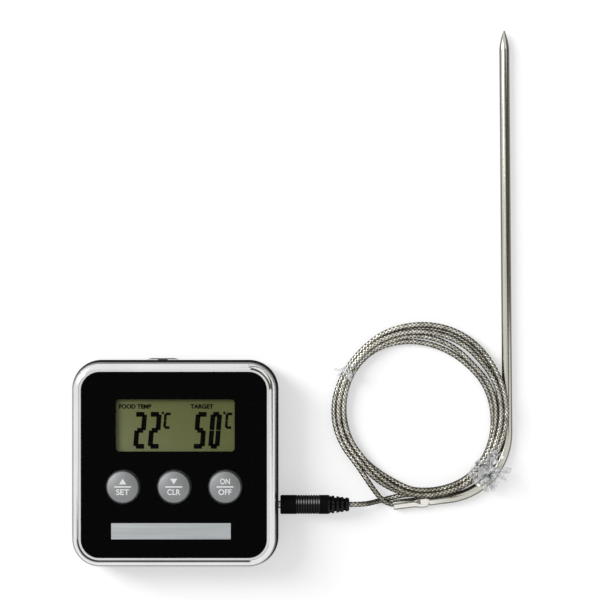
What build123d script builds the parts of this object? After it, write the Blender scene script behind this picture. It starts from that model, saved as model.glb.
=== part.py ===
"""Wired meat thermometer: a square display unit with a plug-in steel probe on a braided lead.

Millimetres. The unit lies on its back. The origin is the centre of its back face, +X points to
the side with the probe socket, +Y to the top edge with the slide switch, +Z out of the display.
"""

import os
from math import cos, pi, radians, sin, tan

from build123d import *

# ---- display unit: driving dimensions
side = 70.0
depth = 18.0
corner_radius = 10.0
split_height = 9.5
case_wall = 1.9
case_floor = 1.8
case_draft = 2.0
back_edge_radius = 1.6
bezel_step = 0.7
bezel_wall = 1.9
bezel_roll = 1.9
lip_width = 0.8
lip_height = 0.45
panel_side = 62.4
panel_thickness = 1.6
panel_recess = 0.4
shelf_width = 1.2
shelf_thickness = 1.2
seat_gap = 0.1
slide_gap = 0.2

# ---- display
window_width = 39.9
window_height = 17.5
window_x = 0.4
window_y = 13.2
window_recess = 0.8
lens_thickness = 0.7
lens_overlap = 1.3
lcd_thickness = 1.9
lcd_margin = 2.8
holder_wall = 1.2
zebra_width = 1.8

# ---- circuit board and keys
board_thickness = 1.2
board_top = 11.2
board_edge_gap = 1.4
board_bottom_y = -16.3
board_ear_reach = 2.3
post_diameter = 4.0
post_edge = 3.1
post_low_y = -2.0
post_high_y = 25.0
button_diameter = 11.1
button_pitch = 17.15
button_y = -7.45
button_proud = 0.9
button_gap = 0.35
button_flange = 1.1
button_flange_thickness = 1.0
button_travel = 0.6
plunger_diameter = 4.0
keypad_thickness = 0.8
keypad_margin = 6.5
keypad_height = 12.0
keypad_corner = 2.0
collar_height = 1.5
collar_wall = 1.0
strip_width = 40.1
strip_height = 5.4
strip_thickness = 0.25
strip_x = -1.0
strip_y = -22.3
chip_diameter = 9.2
chip_height = 1.5
resistor_length, resistor_width = 2.0, 1.25
resistor_x, resistor_y = -14.0, 10.0
resistor_pitch_x, resistor_pitch_y = 5.0, 4.0
capacitor_length, capacitor_width = 1.6, 0.8
capacitor_x, capacitor_y = 12.0, 8.0
capacitor_pitch_x, capacitor_pitch_y = 4.0, 4.0
chip_part_height = 0.8
crystal_length, crystal_width, crystal_height = 8.0, 3.2, 2.4
crystal_x, crystal_y = -20.0, -6.0

# ---- battery bay and its door
cell_diameter = 10.5
cell_length = 44.5
cell_nub_diameter = 3.6
cell_nub_length = 0.9
cell_gap = 0.3
bay_y = -24.2
bay_wall = 1.0
spring_length = 4.0
spring_wire = 0.6
contact_sheet = 0.4
door_thickness = 1.4
door_overlap = 1.2
rail_thickness = 0.7
rail_reach = 0.8
door_travel = 20.0

# ---- fold-out stand, magnets, buzzer
stand_width = 34.0
stand_length = 33.0
stand_thickness = 1.8
stand_hinge_y = 21.0
stand_inset = 0.3
hinge_pin_diameter = 1.1
hinge_pin_length = 1.4
recess_floor = 1.5
island_margin = 2.3
magnet_diameter = 8.0
magnet_thickness = 1.8
magnet_x = 25.6
magnet_y = 2.0
buzzer_side_gap = 0.4
buzzer_wall_gap = 1.4
buzzer_thickness = 3.2
buzzer_y = 17.5
sound_hole_diameter = 1.3

# ---- screws
screw_inset = 5.4
case_boss_diameter = 5.2
screw_diameter = 2.0
screw_head_diameter = 3.5
screw_head_height = 1.5
screw_sink = 2.0
screw_reach = 4.2

# ---- slide switch in the top wall
switch_x = -4.5
switch_z = 5.6
switch_cap_length = 10.8
switch_cap_crest = 7.6
switch_cap_height = 3.6
switch_cap_proud = 0.35
switch_neck_length = 3.2
switch_neck_height = 1.8
switch_travel = 3.0
switch_body_length = 12.0
switch_body_height = 4.0
switch_body_depth = 4.6

# ---- socket and plug
socket_y = -14.4
socket_z = 6.3
socket_nose_diameter = 5.4
socket_body_length = 10.4
socket_body_width = 5.8
pin_diameter = 2.5
pin_length = 11.0
pin_running_gap = 0.05
plug_gap = 0.6
plug_body_length = 23.5
plug_diameter = 6.5
plug_collar_length = 5.4
grip_length = 7.8
grip_depth = 0.28
grip_rings = 9
boot_length = 7.3
boot_end_diameter = 4.6
boot_slot_rows = 4
boot_slot_width = 0.75
boot_core_diameter = 2.9

# ---- lead and probe
lead_diameter = 1.8
probe_diameter = 3.4
probe_bore = 2.6
probe_z = 2.1
probe_point_length = 7.0
probe_tip_x, probe_tip_y = 112.3, 147.7
probe_bend_radius = 22.6
probe_corner = (113.55, -10.2)
tail_x, tail_y = 74.4, -15.0
crimp_start = 7.3
crimp_length = 4.9
crimp_width = 4.1
crimp_height = 2.5
pinch_diameter = 2.5
coil_clearance = 0.3
coil_bottom = 0.45
coil_top = 5.6
coil_outer_x, coil_outer_y, coil_outer_radius = 83.2, 17.7, 30.3
coil_inner_x, coil_inner_y = 82.7, 15.7
coil_bundle = 6.0
tie_film = 0.2
tie_width = 3.0
tie_tail = 5.0

os.makedirs("parts", exist_ok=True)


def write(builder, name):
    """Label a finished piece and write its STEP file."""
    builder.part.label = name
    export_step(builder.part, f"parts/{name}.step")


# ---- heights and places that follow from the driving dimensions
half = side / 2
bezel_side = side - 2 * bezel_step
bezel_radius = corner_radius - bezel_step
panel_radius = corner_radius - (side - panel_side) / 2
pocket_side = panel_side + 2 * seat_gap
panel_top = depth - panel_recess
panel_back = panel_top - panel_thickness
band_top = depth - lip_height
lens_top = panel_top - window_recess
board_back = board_top - board_thickness
holder_top = panel_back - seat_gap
coil_inner_radius = coil_outer_radius - coil_bundle
lcd_top = lens_top - lens_thickness - seat_gap
lcd_back = lcd_top - lcd_thickness
lcd_width = window_width + 2 * lcd_margin
lcd_height = window_height + 2 * lcd_margin
lens_width = window_width + 2 * lens_overlap
lens_height = window_height + 2 * lens_overlap
bay_radius = cell_diameter / 2 + cell_gap
bay_length = cell_length + spring_length + 2 * contact_sheet + 2 * cell_gap
cell_z = door_thickness + slide_gap + cell_gap / 2 + cell_diameter / 2
cell_left = -bay_length / 2 + contact_sheet + spring_length + cell_gap
screw_place = half - screw_inset
recess_depth = stand_inset + stand_thickness + slide_gap
island_top = recess_depth + recess_floor
hinge_z = stand_inset + stand_thickness / 2
door_width = bay_length + 2 * door_overlap
tongue_side = side - 2 * case_wall - 2 * seat_gap
tongue_depth = 1.5
tongue_wall = 1.1
board_width = tongue_side - 2 * tongue_wall - 2 * board_edge_gap
board_top_y = board_width / 2
post_x = board_width / 2 - post_edge
island_half = stand_width / 2 + island_margin
buzzer_diameter = half - case_wall - island_half - buzzer_side_gap - buzzer_wall_gap
buzzer_x = island_half + buzzer_side_gap + buzzer_diameter / 2
door_top_y = bay_y + bay_radius + door_overlap
button_places = [-button_pitch, 0.0, button_pitch]
flange_top = panel_back - seat_gap
plunger_end = board_top + button_travel + seat_gap
corner_screws = [(sx * screw_place, sy * screw_place) for sx in (-1, 1) for sy in (-1, 1)]
board_posts = [(sx * post_x, y) for sx in (-1, 1) for y in (post_low_y, post_high_y)]

# ---- outside of the rear moulding, shared by the case and its door
with BuildPart() as case_outside:
    with BuildSketch(Plane.XY.offset(split_height)):
        RectangleRounded(side, side, corner_radius)
    extrude(amount=-split_height, taper=case_draft)
    fillet(case_outside.edges().group_by(Axis.Z)[0], back_edge_radius)

# ---- rear case: drafted tub, battery bay, stand recess, bosses, door rails and sound holes
with BuildPart() as rear_case:
    add(case_outside.part)
    inner_side = side - 2 * case_wall
    with BuildSketch(Plane.XY.offset(split_height)):
        RectangleRounded(inner_side, inner_side, corner_radius - case_wall)
    extrude(amount=case_floor - split_height, taper=case_draft, mode=Mode.SUBTRACT)
    # raised island that carries the stand recess
    island_low = stand_hinge_y - stand_length - 3.4
    island_high = stand_hinge_y + 4.0
    with BuildSketch(Plane.XY.offset(case_floor)):
        with Locations((0, (island_low + island_high) / 2)):
            Rectangle(2 * island_half, island_high - island_low)
    extrude(amount=island_top - case_floor)
    # vaulted trough over the cell
    with BuildSketch(Plane.YZ.offset(-bay_length / 2 - bay_wall)):
        with Locations((bay_y, cell_z)):
            Circle(bay_radius + bay_wall)
        with Locations((bay_y, 0)):
            Rectangle(2 * (bay_radius + bay_wall), cell_z, align=(Align.CENTER, Align.MIN))
    extrude(amount=bay_length + 2 * bay_wall)
    # thicker floor along the door rails
    rail_floor = door_thickness + slide_gap + 1.0
    rail_span = door_top_y + half - case_wall - 0.6
    with BuildSketch(Plane.XY.offset(case_floor)):
        with Locations((0, door_top_y)):
            Rectangle(door_width + 4.4, rail_span, align=(Align.CENTER, Align.MAX))
    extrude(amount=rail_floor - case_floor)
    # corner bosses and magnet and buzzer seats
    with BuildSketch(Plane.XY.offset(case_floor)):
        with Locations(*corner_screws):
            Circle(case_boss_diameter / 2)
    extrude(amount=split_height - case_floor - seat_gap)
    with BuildSketch(Plane.XY.offset(case_floor)):
        with Locations((-magnet_x, magnet_y), (magnet_x, magnet_y)):
            Circle(magnet_diameter / 2 + 1.2)
    extrude(amount=magnet_thickness + stand_inset + 1.0 - case_floor)
    with BuildSketch(Plane.XY.offset(case_floor)):
        with Locations((buzzer_x, buzzer_y)):
            Circle(buzzer_diameter / 2 + seat_gap + 0.9)
            Circle(buzzer_diameter / 2 + seat_gap, mode=Mode.SUBTRACT)
    extrude(amount=buzzer_thickness - 0.8)
    # cell trough and door opening
    with BuildSketch(Plane.YZ.offset(-bay_length / 2)):
        with Locations((bay_y, cell_z)):
            Circle(bay_radius)
        with Locations((bay_y, 0)):
            Rectangle(2 * bay_radius, cell_z, align=(Align.CENTER, Align.MIN))
    extrude(amount=bay_length, mode=Mode.SUBTRACT)
    door_slot = door_top_y + slide_gap
    with BuildSketch(Plane.XY):
        with Locations((0, door_slot)):
            Rectangle(door_width + 2 * slide_gap, side, align=(Align.CENTER, Align.MAX))
    extrude(amount=door_thickness + slide_gap, mode=Mode.SUBTRACT)
    with BuildSketch(Plane.XY.offset(door_thickness - rail_thickness - slide_gap)):
        with Locations((0, door_slot)):
            Rectangle(door_width + 2 * (rail_reach + slide_gap), side, align=(Align.CENTER, Align.MAX))
    extrude(amount=rail_thickness + 2 * slide_gap, mode=Mode.SUBTRACT)
    # slots through the trough's ends for the contact tabs
    with BuildSketch(Plane.YZ.offset(-bay_length / 2 - bay_wall - 1)):
        with Locations((bay_y, board_top + contact_sheet / 2)):
            Rectangle(4.6, contact_sheet + 0.5)
    extrude(amount=bay_length + 2 * bay_wall + 2, mode=Mode.SUBTRACT)
    # stand recess, its hinge holes and the finger notch at its free end
    recess_width = stand_width + 2 * slide_gap
    recess_high = stand_hinge_y + stand_thickness / 2 + slide_gap
    recess_low = stand_hinge_y - stand_length - slide_gap
    with BuildSketch(Plane.XY):
        with Locations((0, recess_low)):
            Rectangle(recess_width, recess_high - recess_low, align=(Align.CENTER, Align.MIN))
    extrude(amount=recess_depth, mode=Mode.SUBTRACT)
    with BuildSketch(Plane.XY):
        with Locations((0, recess_low)):
            Ellipse(7.0, 2.0)
    extrude(amount=recess_depth - 0.5, mode=Mode.SUBTRACT)
    with BuildSketch(Plane.YZ.offset(-recess_width / 2 - hinge_pin_length)):
        with Locations((stand_hinge_y, hinge_z)):
            Circle(hinge_pin_diameter / 2 + 0.05)
    extrude(amount=recess_width + 2 * hinge_pin_length, mode=Mode.SUBTRACT)
    # magnet pockets, open to the back
    with BuildSketch(Plane.XY):
        with Locations((-magnet_x, magnet_y), (magnet_x, magnet_y)):
            Circle(magnet_diameter / 2 + seat_gap)
    extrude(amount=magnet_thickness + stand_inset, mode=Mode.SUBTRACT)
    # sound holes under the buzzer
    with BuildSketch(Plane.XY):
        with Locations((buzzer_x, buzzer_y)):
            Circle(sound_hole_diameter / 2)
            with PolarLocations(3.0, 6):
                Circle(sound_hole_diameter / 2)
    extrude(amount=case_floor, mode=Mode.SUBTRACT)
    # screw clearance holes, sunk for the heads
    with Locations(*[Location((x, y, 0), (180, 0, 0)) for x, y in corner_screws]):
        CounterBoreHole(
            screw_diameter / 2 + seat_gap,
            screw_head_diameter / 2 + slide_gap,
            screw_sink,
            depth=split_height,
        )
    # socket hole in the side wall and switch slot in the top wall
    with BuildSketch(Plane.YZ.offset(half - case_wall - 1)):
        with Locations((socket_y, socket_z)):
            Circle(socket_nose_diameter / 2 + seat_gap)
    extrude(amount=case_wall + 2, mode=Mode.SUBTRACT)
    slot_length = switch_neck_length + switch_travel + 2 * slide_gap
    slot_x = switch_x + switch_travel / 2
    with BuildSketch(Plane.XZ.offset(-half - 1)):
        with Locations((slot_x, switch_z)):
            Rectangle(slot_length, switch_neck_height + 2 * slide_gap)
    extrude(amount=case_wall + 2, mode=Mode.SUBTRACT)
write(rear_case, "rear_case")

# ---- front bezel: rolled bright ring with a raised inner lip, panel shelf, bosses and tongue
inner_wall_side = bezel_side - 2 * bezel_wall
shelf_opening = pocket_side - 2 * shelf_width
shelf_back = panel_back - shelf_thickness
with BuildPart() as front_bezel:
    with BuildSketch(Plane.XY.offset(split_height)):
        RectangleRounded(bezel_side, bezel_side, bezel_radius)
    extrude(amount=band_top - split_height)
    fillet(front_bezel.edges().group_by(Axis.Z)[-1], bezel_roll)
    lip_side = pocket_side + 2 * lip_width
    with BuildSketch(Plane.XY.offset(band_top)):
        RectangleRounded(lip_side, lip_side, panel_radius + seat_gap + lip_width)
    extrude(amount=lip_height)
    chamfer(front_bezel.edges().group_by(Axis.Z)[-1], lip_height * 0.4)
    with BuildSketch(Plane.XY.offset(split_height)):
        RectangleRounded(inner_wall_side, inner_wall_side, bezel_radius - bezel_wall)
    extrude(amount=shelf_back - split_height, mode=Mode.SUBTRACT)
    with BuildSketch(Plane.XY.offset(shelf_back)):
        RectangleRounded(shelf_opening, shelf_opening, panel_radius - shelf_width)
    extrude(amount=shelf_thickness, mode=Mode.SUBTRACT)
    with BuildSketch(Plane.XY.offset(panel_back)):
        RectangleRounded(pocket_side, pocket_side, panel_radius + seat_gap)
    extrude(amount=depth - panel_back, mode=Mode.SUBTRACT)
    # tongue that drops inside the case wall
    with BuildSketch(Plane.XY.offset(split_height - tongue_depth)):
        RectangleRounded(tongue_side, tongue_side, tongue_side / 2 - half + corner_radius)
        RectangleRounded(
            tongue_side - 2 * tongue_wall,
            tongue_side - 2 * tongue_wall,
            tongue_side / 2 - half + corner_radius - tongue_wall,
            mode=Mode.SUBTRACT,
        )
        with Locations(*corner_screws):
            Circle(case_boss_diameter / 2 + slide_gap, mode=Mode.SUBTRACT)
        with Locations((half, socket_y)):
            Rectangle(2 * case_wall + 8, socket_body_width + 1, mode=Mode.SUBTRACT)
    extrude(amount=tongue_depth + 1.0)
    # screw bosses
    with BuildSketch(Plane.XY.offset(split_height)):
        with Locations(*corner_screws):
            Circle(screw_diameter / 2 + 1.2)
    extrude(amount=panel_back - seat_gap - split_height)
    with BuildSketch(Plane.XY.offset(split_height)):
        with Locations(*corner_screws):
            Circle(screw_diameter / 2 + 0.05)
    extrude(amount=screw_reach + 0.6, mode=Mode.SUBTRACT)
write(front_bezel, "front_bezel")

# ---- gloss face panel with the display window, button holes and board posts
with BuildPart() as face_panel:
    with BuildSketch(Plane.XY.offset(panel_back)):
        RectangleRounded(panel_side, panel_side, panel_radius)
    extrude(amount=panel_thickness)
    with BuildSketch(Plane.XY.offset(panel_back)):
        with Locations((window_x, window_y)):
            RectangleRounded(window_width, window_height, 1.2)
    extrude(amount=panel_thickness, mode=Mode.SUBTRACT)
    with BuildSketch(Plane.XY.offset(panel_back)):
        with Locations((window_x, window_y)):
            Rectangle(lens_width + 2 * seat_gap, lens_height + 2 * seat_gap)
    extrude(amount=panel_thickness - window_recess, mode=Mode.SUBTRACT)
    with BuildSketch(Plane.XY.offset(panel_back)):
        with Locations(*[(x, button_y) for x in button_places]):
            Circle(button_diameter / 2 + button_gap)
    extrude(amount=panel_thickness, mode=Mode.SUBTRACT)
    # seat for the name strip
    with BuildSketch(Plane.XY.offset(panel_top)):
        with Locations((strip_x, strip_y)):
            Rectangle(strip_width + 2 * seat_gap, strip_height + 2 * seat_gap)
    extrude(amount=-strip_thickness, mode=Mode.SUBTRACT)
    # posts that carry the circuit board
    with BuildSketch(Plane.XY.offset(board_top)):
        with Locations(*board_posts):
            Circle(post_diameter / 2)
            Circle(screw_diameter / 2 + 0.05, mode=Mode.SUBTRACT)
    extrude(amount=panel_back - board_top)
write(face_panel, "face_panel")

# ---- clear lens, display glass, its holder frame and contact strips
with BuildPart() as display_lens:
    with BuildSketch(Plane.XY.offset(lens_top - lens_thickness)):
        with Locations((window_x, window_y)):
            Rectangle(lens_width, lens_height)
    extrude(amount=lens_thickness)
write(display_lens, "display_lens")

with BuildPart() as lcd_glass:
    with BuildSketch(Plane.XY.offset(lcd_back)):
        with Locations((window_x, window_y)):
            Rectangle(lcd_width, lcd_height)
    extrude(amount=lcd_thickness / 2)
    # the front pane is shorter, which bares the contact ledge
    with BuildSketch(Plane.XY.offset(lcd_back + lcd_thickness / 2)):
        with Locations((window_x, window_y + 0.6)):
            Rectangle(lcd_width, lcd_height - 1.2)
    extrude(amount=lcd_thickness / 2)
write(lcd_glass, "lcd_glass")

with BuildPart() as lcd_holder:
    with BuildSketch(Plane.XY.offset(board_top)):
        with Locations((window_x, window_y)):
            Rectangle(lcd_width + 2 * holder_wall, lcd_height + 2 * holder_wall)
            Rectangle(lcd_width + 2 * seat_gap, lcd_height + 2 * seat_gap, mode=Mode.SUBTRACT)
    extrude(amount=holder_top - board_top)
    # ribs that hold the display glass up between the contact strips
    with BuildSketch(Plane.XY.offset(board_top)):
        with Locations((window_x, window_y)):
            with GridLocations(lcd_width - 12, 1, 2, 1):
                Rectangle(1.2, lcd_height + 2 * seat_gap + 0.4)
            Rectangle(lcd_width + 2 * seat_gap + 0.4, 1.2)
            with GridLocations(1, lcd_height - 2 * zebra_width, 1, 2):
                Rectangle(lcd_width, 2 * zebra_width, mode=Mode.SUBTRACT)
    extrude(amount=lcd_back - board_top)
write(lcd_holder, "lcd_holder")

with BuildPart() as zebra_strips:
    with BuildSketch(Plane.XY.offset(board_top)):
        with Locations((window_x, window_y)):
            with GridLocations(1, lcd_height - 2 * zebra_width, 1, 2):
                Rectangle(lcd_width - 4, zebra_width)
    extrude(amount=lcd_back - board_top)
write(zebra_strips, "zebra_strips")

# ---- circuit board with ears beside the battery bay
with BuildPart() as circuit_board:
    with BuildSketch(Plane.XY.offset(board_back)):
        with Locations((0, board_bottom_y)):
            Rectangle(board_width, board_top_y - board_bottom_y, align=(Align.CENTER, Align.MIN))
        ear_inner = bay_length / 2 + bay_wall + 0.5
        ear_width = board_width / 2 - ear_inner
        for direction in (-1, 1):
            with Locations((direction * (ear_inner + ear_width / 2), bay_y - board_ear_reach)):
                Rectangle(
                    ear_width,
                    board_bottom_y - bay_y + board_ear_reach,
                    align=(Align.CENTER, Align.MIN),
                )
        with Locations(*corner_screws):
            Circle(screw_diameter / 2 + 2.0, mode=Mode.SUBTRACT)
        with Locations(*board_posts):
            Circle(screw_diameter / 2 + seat_gap, mode=Mode.SUBTRACT)
    extrude(amount=board_thickness)
write(circuit_board, "circuit_board")

with BuildPart() as chip_blob:
    with BuildSketch(Plane.XY.offset(board_back)):
        Circle(chip_diameter / 2)
    extrude(amount=-chip_height, taper=40)
    fillet(chip_blob.edges().group_by(Axis.Z)[0], 1.2)
write(chip_blob, "chip_blob")

with BuildPart() as board_components:
    with BuildSketch(Plane.XY.offset(board_back)):
        with Locations((resistor_x, resistor_y)):
            with GridLocations(resistor_pitch_x, resistor_pitch_y, 2, 4):
                Rectangle(resistor_length, resistor_width)
        with Locations((capacitor_x, capacitor_y)):
            with GridLocations(capacitor_pitch_x, capacitor_pitch_y, 2, 3):
                Rectangle(capacitor_length, capacitor_width)
    extrude(amount=-chip_part_height)
    with BuildSketch(Plane.XY.offset(board_back)):
        with Locations((crystal_x, crystal_y)):
            SlotOverall(crystal_length, crystal_width)
    extrude(amount=-crystal_height)
write(board_components, "board_components")

# ---- silicone keypad and the three keys
with BuildPart() as keypad:
    with BuildSketch(Plane.XY.offset(board_top)):
        with Locations((0, button_y)):
            RectangleRounded(2 * (button_pitch + keypad_margin), keypad_height, keypad_corner)
    extrude(amount=keypad_thickness)
    with BuildSketch(Plane.XY.offset(board_top + keypad_thickness)):
        with Locations(*[(x, button_y) for x in button_places]):
            Circle(plunger_diameter / 2 + slide_gap + collar_wall)
    extrude(amount=collar_height - keypad_thickness, taper=20)
    with BuildSketch(Plane.XY.offset(board_top)):
        with Locations(*[(x, button_y) for x in button_places]):
            Circle(plunger_diameter / 2 + slide_gap)
    extrude(amount=collar_height, mode=Mode.SUBTRACT)
write(keypad, "keypad")

for key_name, key_x in zip(("button_up", "button_down", "button_start"), button_places):
    with BuildPart() as key:
        with BuildSketch(Plane.XY.offset(flange_top)):
            with Locations((key_x, button_y)):
                Circle(button_diameter / 2)
        extrude(amount=panel_top + button_proud - flange_top)
        chamfer(key.edges().group_by(Axis.Z)[-1], 0.4)
        with BuildSketch(Plane.XY.offset(flange_top)):
            with Locations((key_x, button_y)):
                Circle(button_diameter / 2 + button_flange)
        extrude(amount=-button_flange_thickness)
        with BuildSketch(Plane.XY.offset(plunger_end)):
            with Locations((key_x, button_y)):
                Circle(plunger_diameter / 2)
        extrude(amount=flange_top - plunger_end)
    write(key, key_name)

with BuildPart() as name_strip:
    with BuildSketch(Plane.XY.offset(panel_top - strip_thickness)):
        with Locations((strip_x, strip_y)):
            Rectangle(strip_width, strip_height)
    extrude(amount=strip_thickness)
write(name_strip, "name_strip")

# ---- probe socket: moulded block with a nose that fills the case hole
socket_back_x = half - 0.4 - pin_length - 0.6
with BuildPart() as jack_socket:
    with BuildSketch(Plane.YZ.offset(socket_back_x)):
        with Locations((socket_y, board_back - seat_gap / 2)):
            Rectangle(
                socket_body_width,
                board_back - socket_z + socket_body_width / 2,
                align=(Align.CENTER, Align.MAX),
            )
    extrude(amount=socket_body_length - 1.4)
    with BuildSketch(Plane.YZ.offset(socket_back_x)):
        with Locations((socket_y, socket_z)):
            Circle(socket_nose_diameter / 2)
    extrude(amount=half - 0.4 - socket_back_x)
    with BuildSketch(Plane.YZ.offset(half - 0.4)):
        with Locations((socket_y, socket_z)):
            Circle(pin_diameter / 2 + pin_running_gap)
    extrude(amount=-pin_length - 0.4, mode=Mode.SUBTRACT)
write(jack_socket, "jack_socket")

with BuildPart() as socket_contacts:
    with BuildSketch(Plane.XY.offset(socket_z - 1)):
        with Locations((socket_back_x - 0.2, socket_y)):
            Rectangle(0.3, 2.4)
        with Locations((socket_back_x + 5, socket_y + socket_body_width / 2 + 0.2)):
            Rectangle(2.4, 0.3)
    extrude(amount=board_back - seat_gap / 2 - socket_z + 1)
write(socket_contacts, "socket_contacts")

# ---- slide switch
switch_back_y = half - case_wall - seat_gap * 3 - switch_body_depth
with BuildPart() as mode_switch_body:
    with BuildSketch(Plane.XY.offset(switch_z - switch_body_height / 2)):
        with Locations((slot_x, switch_back_y)):
            Rectangle(switch_body_length, switch_body_depth, align=(Align.CENTER, Align.MIN))
    extrude(amount=switch_body_height)
    with BuildSketch(Plane.XZ.offset(-switch_back_y - switch_body_depth)):
        with Locations((slot_x, switch_z)):
            Rectangle(slot_length, switch_neck_height + 2 * slide_gap)
    extrude(amount=switch_body_depth - 1.5, mode=Mode.SUBTRACT)
    with BuildSketch(Plane.XY.offset(switch_z + switch_body_height / 2)):
        with Locations((slot_x, switch_back_y + 1.5)):
            with GridLocations(4, 1, 3, 1):
                Rectangle(0.8, 0.5)
    extrude(amount=board_back - seat_gap / 2 - switch_z - switch_body_height / 2)
write(mode_switch_body, "mode_switch_body")

cap_base_y = half + seat_gap
with BuildPart() as mode_switch_knob:
    with BuildSketch(Plane.XY.offset(switch_z - switch_cap_height / 2)):
        with BuildLine():
            Polyline(
                (switch_x - switch_cap_length / 2, cap_base_y),
                (switch_x + switch_cap_length / 2, cap_base_y),
                (switch_x + switch_cap_crest / 2, cap_base_y + switch_cap_proud),
                (switch_x - switch_cap_crest / 2, cap_base_y + switch_cap_proud),
                close=True,
            )
        make_face()
    extrude(amount=switch_cap_height)
    fillet(mode_switch_knob.edges().group_by(Axis.Y)[-1], 0.15)
    neck_start_y = switch_back_y + 1.5 + slide_gap
    with BuildSketch(Plane.XY.offset(switch_z - switch_neck_height / 2)):
        with Locations((switch_x, neck_start_y)):
            Rectangle(switch_neck_length, cap_base_y - neck_start_y + 0.3, align=(Align.CENTER, Align.MIN))
    extrude(amount=switch_neck_height)
write(mode_switch_knob, "mode_switch_knob")

# ---- buzzer: drum with a sound hole in its front
with BuildPart() as buzzer:
    with BuildSketch(Plane.XY.offset(case_floor)):
        with Locations((buzzer_x, buzzer_y)):
            Circle(buzzer_diameter / 2)
    extrude(amount=buzzer_thickness)
    fillet(buzzer.edges().group_by(Axis.Z)[-1], 0.4)
    with BuildSketch(Plane.XY.offset(case_floor)):
        with Locations((buzzer_x, buzzer_y)):
            Circle(1.6)
    extrude(amount=buzzer_thickness / 2, mode=Mode.SUBTRACT)
write(buzzer, "buzzer")

# ---- cell, contacts and door
with BuildPart() as battery:
    with BuildSketch(Plane.YZ.offset(cell_left)):
        with Locations((bay_y, cell_z)):
            Circle(cell_diameter / 2)
    extrude(amount=cell_length - cell_nub_length)
    chamfer(battery.edges().filter_by(GeomType.CIRCLE), 0.4)
    with BuildSketch(Plane.YZ.offset(cell_left + cell_length - cell_nub_length)):
        with Locations((bay_y, cell_z)):
            Circle(cell_nub_diameter / 2)
    extrude(amount=cell_nub_length)
write(battery, "battery")

plate_width = 8.0
tab_width = 3.8
tab_reach = 2.6
for contact_name, direction in (("battery_spring", -1), ("battery_contact", 1)):
    with BuildPart() as contact:
        plate_x = direction * (bay_length / 2 - contact_sheet / 2)
        with BuildSketch(Plane.YZ.offset(plate_x)):
            with Locations((bay_y, door_thickness + slide_gap + 0.6)):
                Rectangle(plate_width, 8.0, align=(Align.CENTER, Align.MIN))
            with Locations((bay_y, cell_z)):
                Rectangle(tab_width, board_top + contact_sheet - cell_z, align=(Align.CENTER, Align.MIN))
        extrude(amount=0.9 * contact_sheet / 2, both=True)
        with BuildSketch(Plane.XY.offset(board_top + 0.05)):
            with Locations((direction * (bay_length / 2 + tab_reach / 2 - 0.2), bay_y)):
                Rectangle(tab_reach + 0.2, tab_width)
        extrude(amount=contact_sheet - 0.05)
        if direction < 0:
            coil_start = -bay_length / 2 + contact_sheet * 0.9 + spring_wire / 2
            with BuildLine() as spring_path:
                Helix(
                    pitch=1.15,
                    height=spring_length - spring_wire,
                    radius=3.4,
                    center=(coil_start, bay_y, cell_z),
                    direction=(1, 0, 0),
                    cone_angle=-12,
                )
            with BuildSketch(Plane(spring_path.line @ 0, z_dir=spring_path.line % 0)):
                RegularPolygon(spring_wire / 2, 6)
            sweep(is_frenet=True)
        else:
            with BuildSketch(Plane.YZ.offset(bay_length / 2 - 0.9 * contact_sheet)):
                with Locations((bay_y, cell_z)):
                    Circle(2.0)
            extrude(amount=-0.2, taper=30)
    write(contact, contact_name)

with BuildPart() as battery_cover:
    add(case_outside.part)
    with BuildSketch(Plane.XY):
        with Locations((0, door_top_y)):
            Rectangle(door_width, side, align=(Align.CENTER, Align.MAX))
    extrude(amount=door_thickness, mode=Mode.INTERSECT)
    with BuildSketch(Plane.XY.offset(door_thickness - rail_thickness)):
        with Locations((0, door_top_y)):
            Rectangle(
                door_width + 2 * rail_reach,
                door_top_y + half - corner_radius,
                align=(Align.CENTER, Align.MAX),
            )
    extrude(amount=rail_thickness)
    # thumb ridges
    with BuildSketch(Plane.XY):
        with Locations((0, -half + 6.2)):
            with GridLocations(1, 1.5, 1, 5):
                SlotOverall(14.0, 0.7)
    extrude(amount=0.35, mode=Mode.SUBTRACT)
write(battery_cover, "battery_cover")

# ---- fold-out stand with moulded hinge pins
with BuildPart() as stand:
    with BuildSketch(Plane.YZ.offset(-stand_width / 2)):
        with Locations((stand_hinge_y, hinge_z)):
            Circle(stand_thickness / 2)
        with Locations((stand_hinge_y, stand_inset)):
            Rectangle(stand_length, stand_thickness, align=(Align.MAX, Align.MIN))
    extrude(amount=stand_width)
    fillet(
        stand.edges().filter_by(Axis.Z).group_by(Axis.Y)[0],
        3.0,
    )
    # shallow panel that lightens the leg
    with BuildSketch(Plane.XY.offset(stand_inset)):
        with Locations((0, stand_hinge_y - stand_length / 2 + 1.0)):
            RectangleRounded(stand_width - 8, stand_length - 12, 2.5)
    extrude(amount=stand_thickness * 0.4, mode=Mode.SUBTRACT)
    with BuildSketch(Plane.YZ.offset(-stand_width / 2 - hinge_pin_length)):
        with Locations((stand_hinge_y, hinge_z)):
            Circle(hinge_pin_diameter / 2)
    extrude(amount=stand_width + 2 * hinge_pin_length)
write(stand, "stand")

for magnet_name, direction in (("magnet_left", -1), ("magnet_right", 1)):
    with BuildPart() as magnet:
        with BuildSketch(Plane.XY.offset(stand_inset)):
            with Locations((direction * magnet_x, magnet_y)):
                Circle(magnet_diameter / 2)
        extrude(amount=magnet_thickness)
        chamfer(magnet.edges(), 0.2)
    write(magnet, magnet_name)

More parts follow.
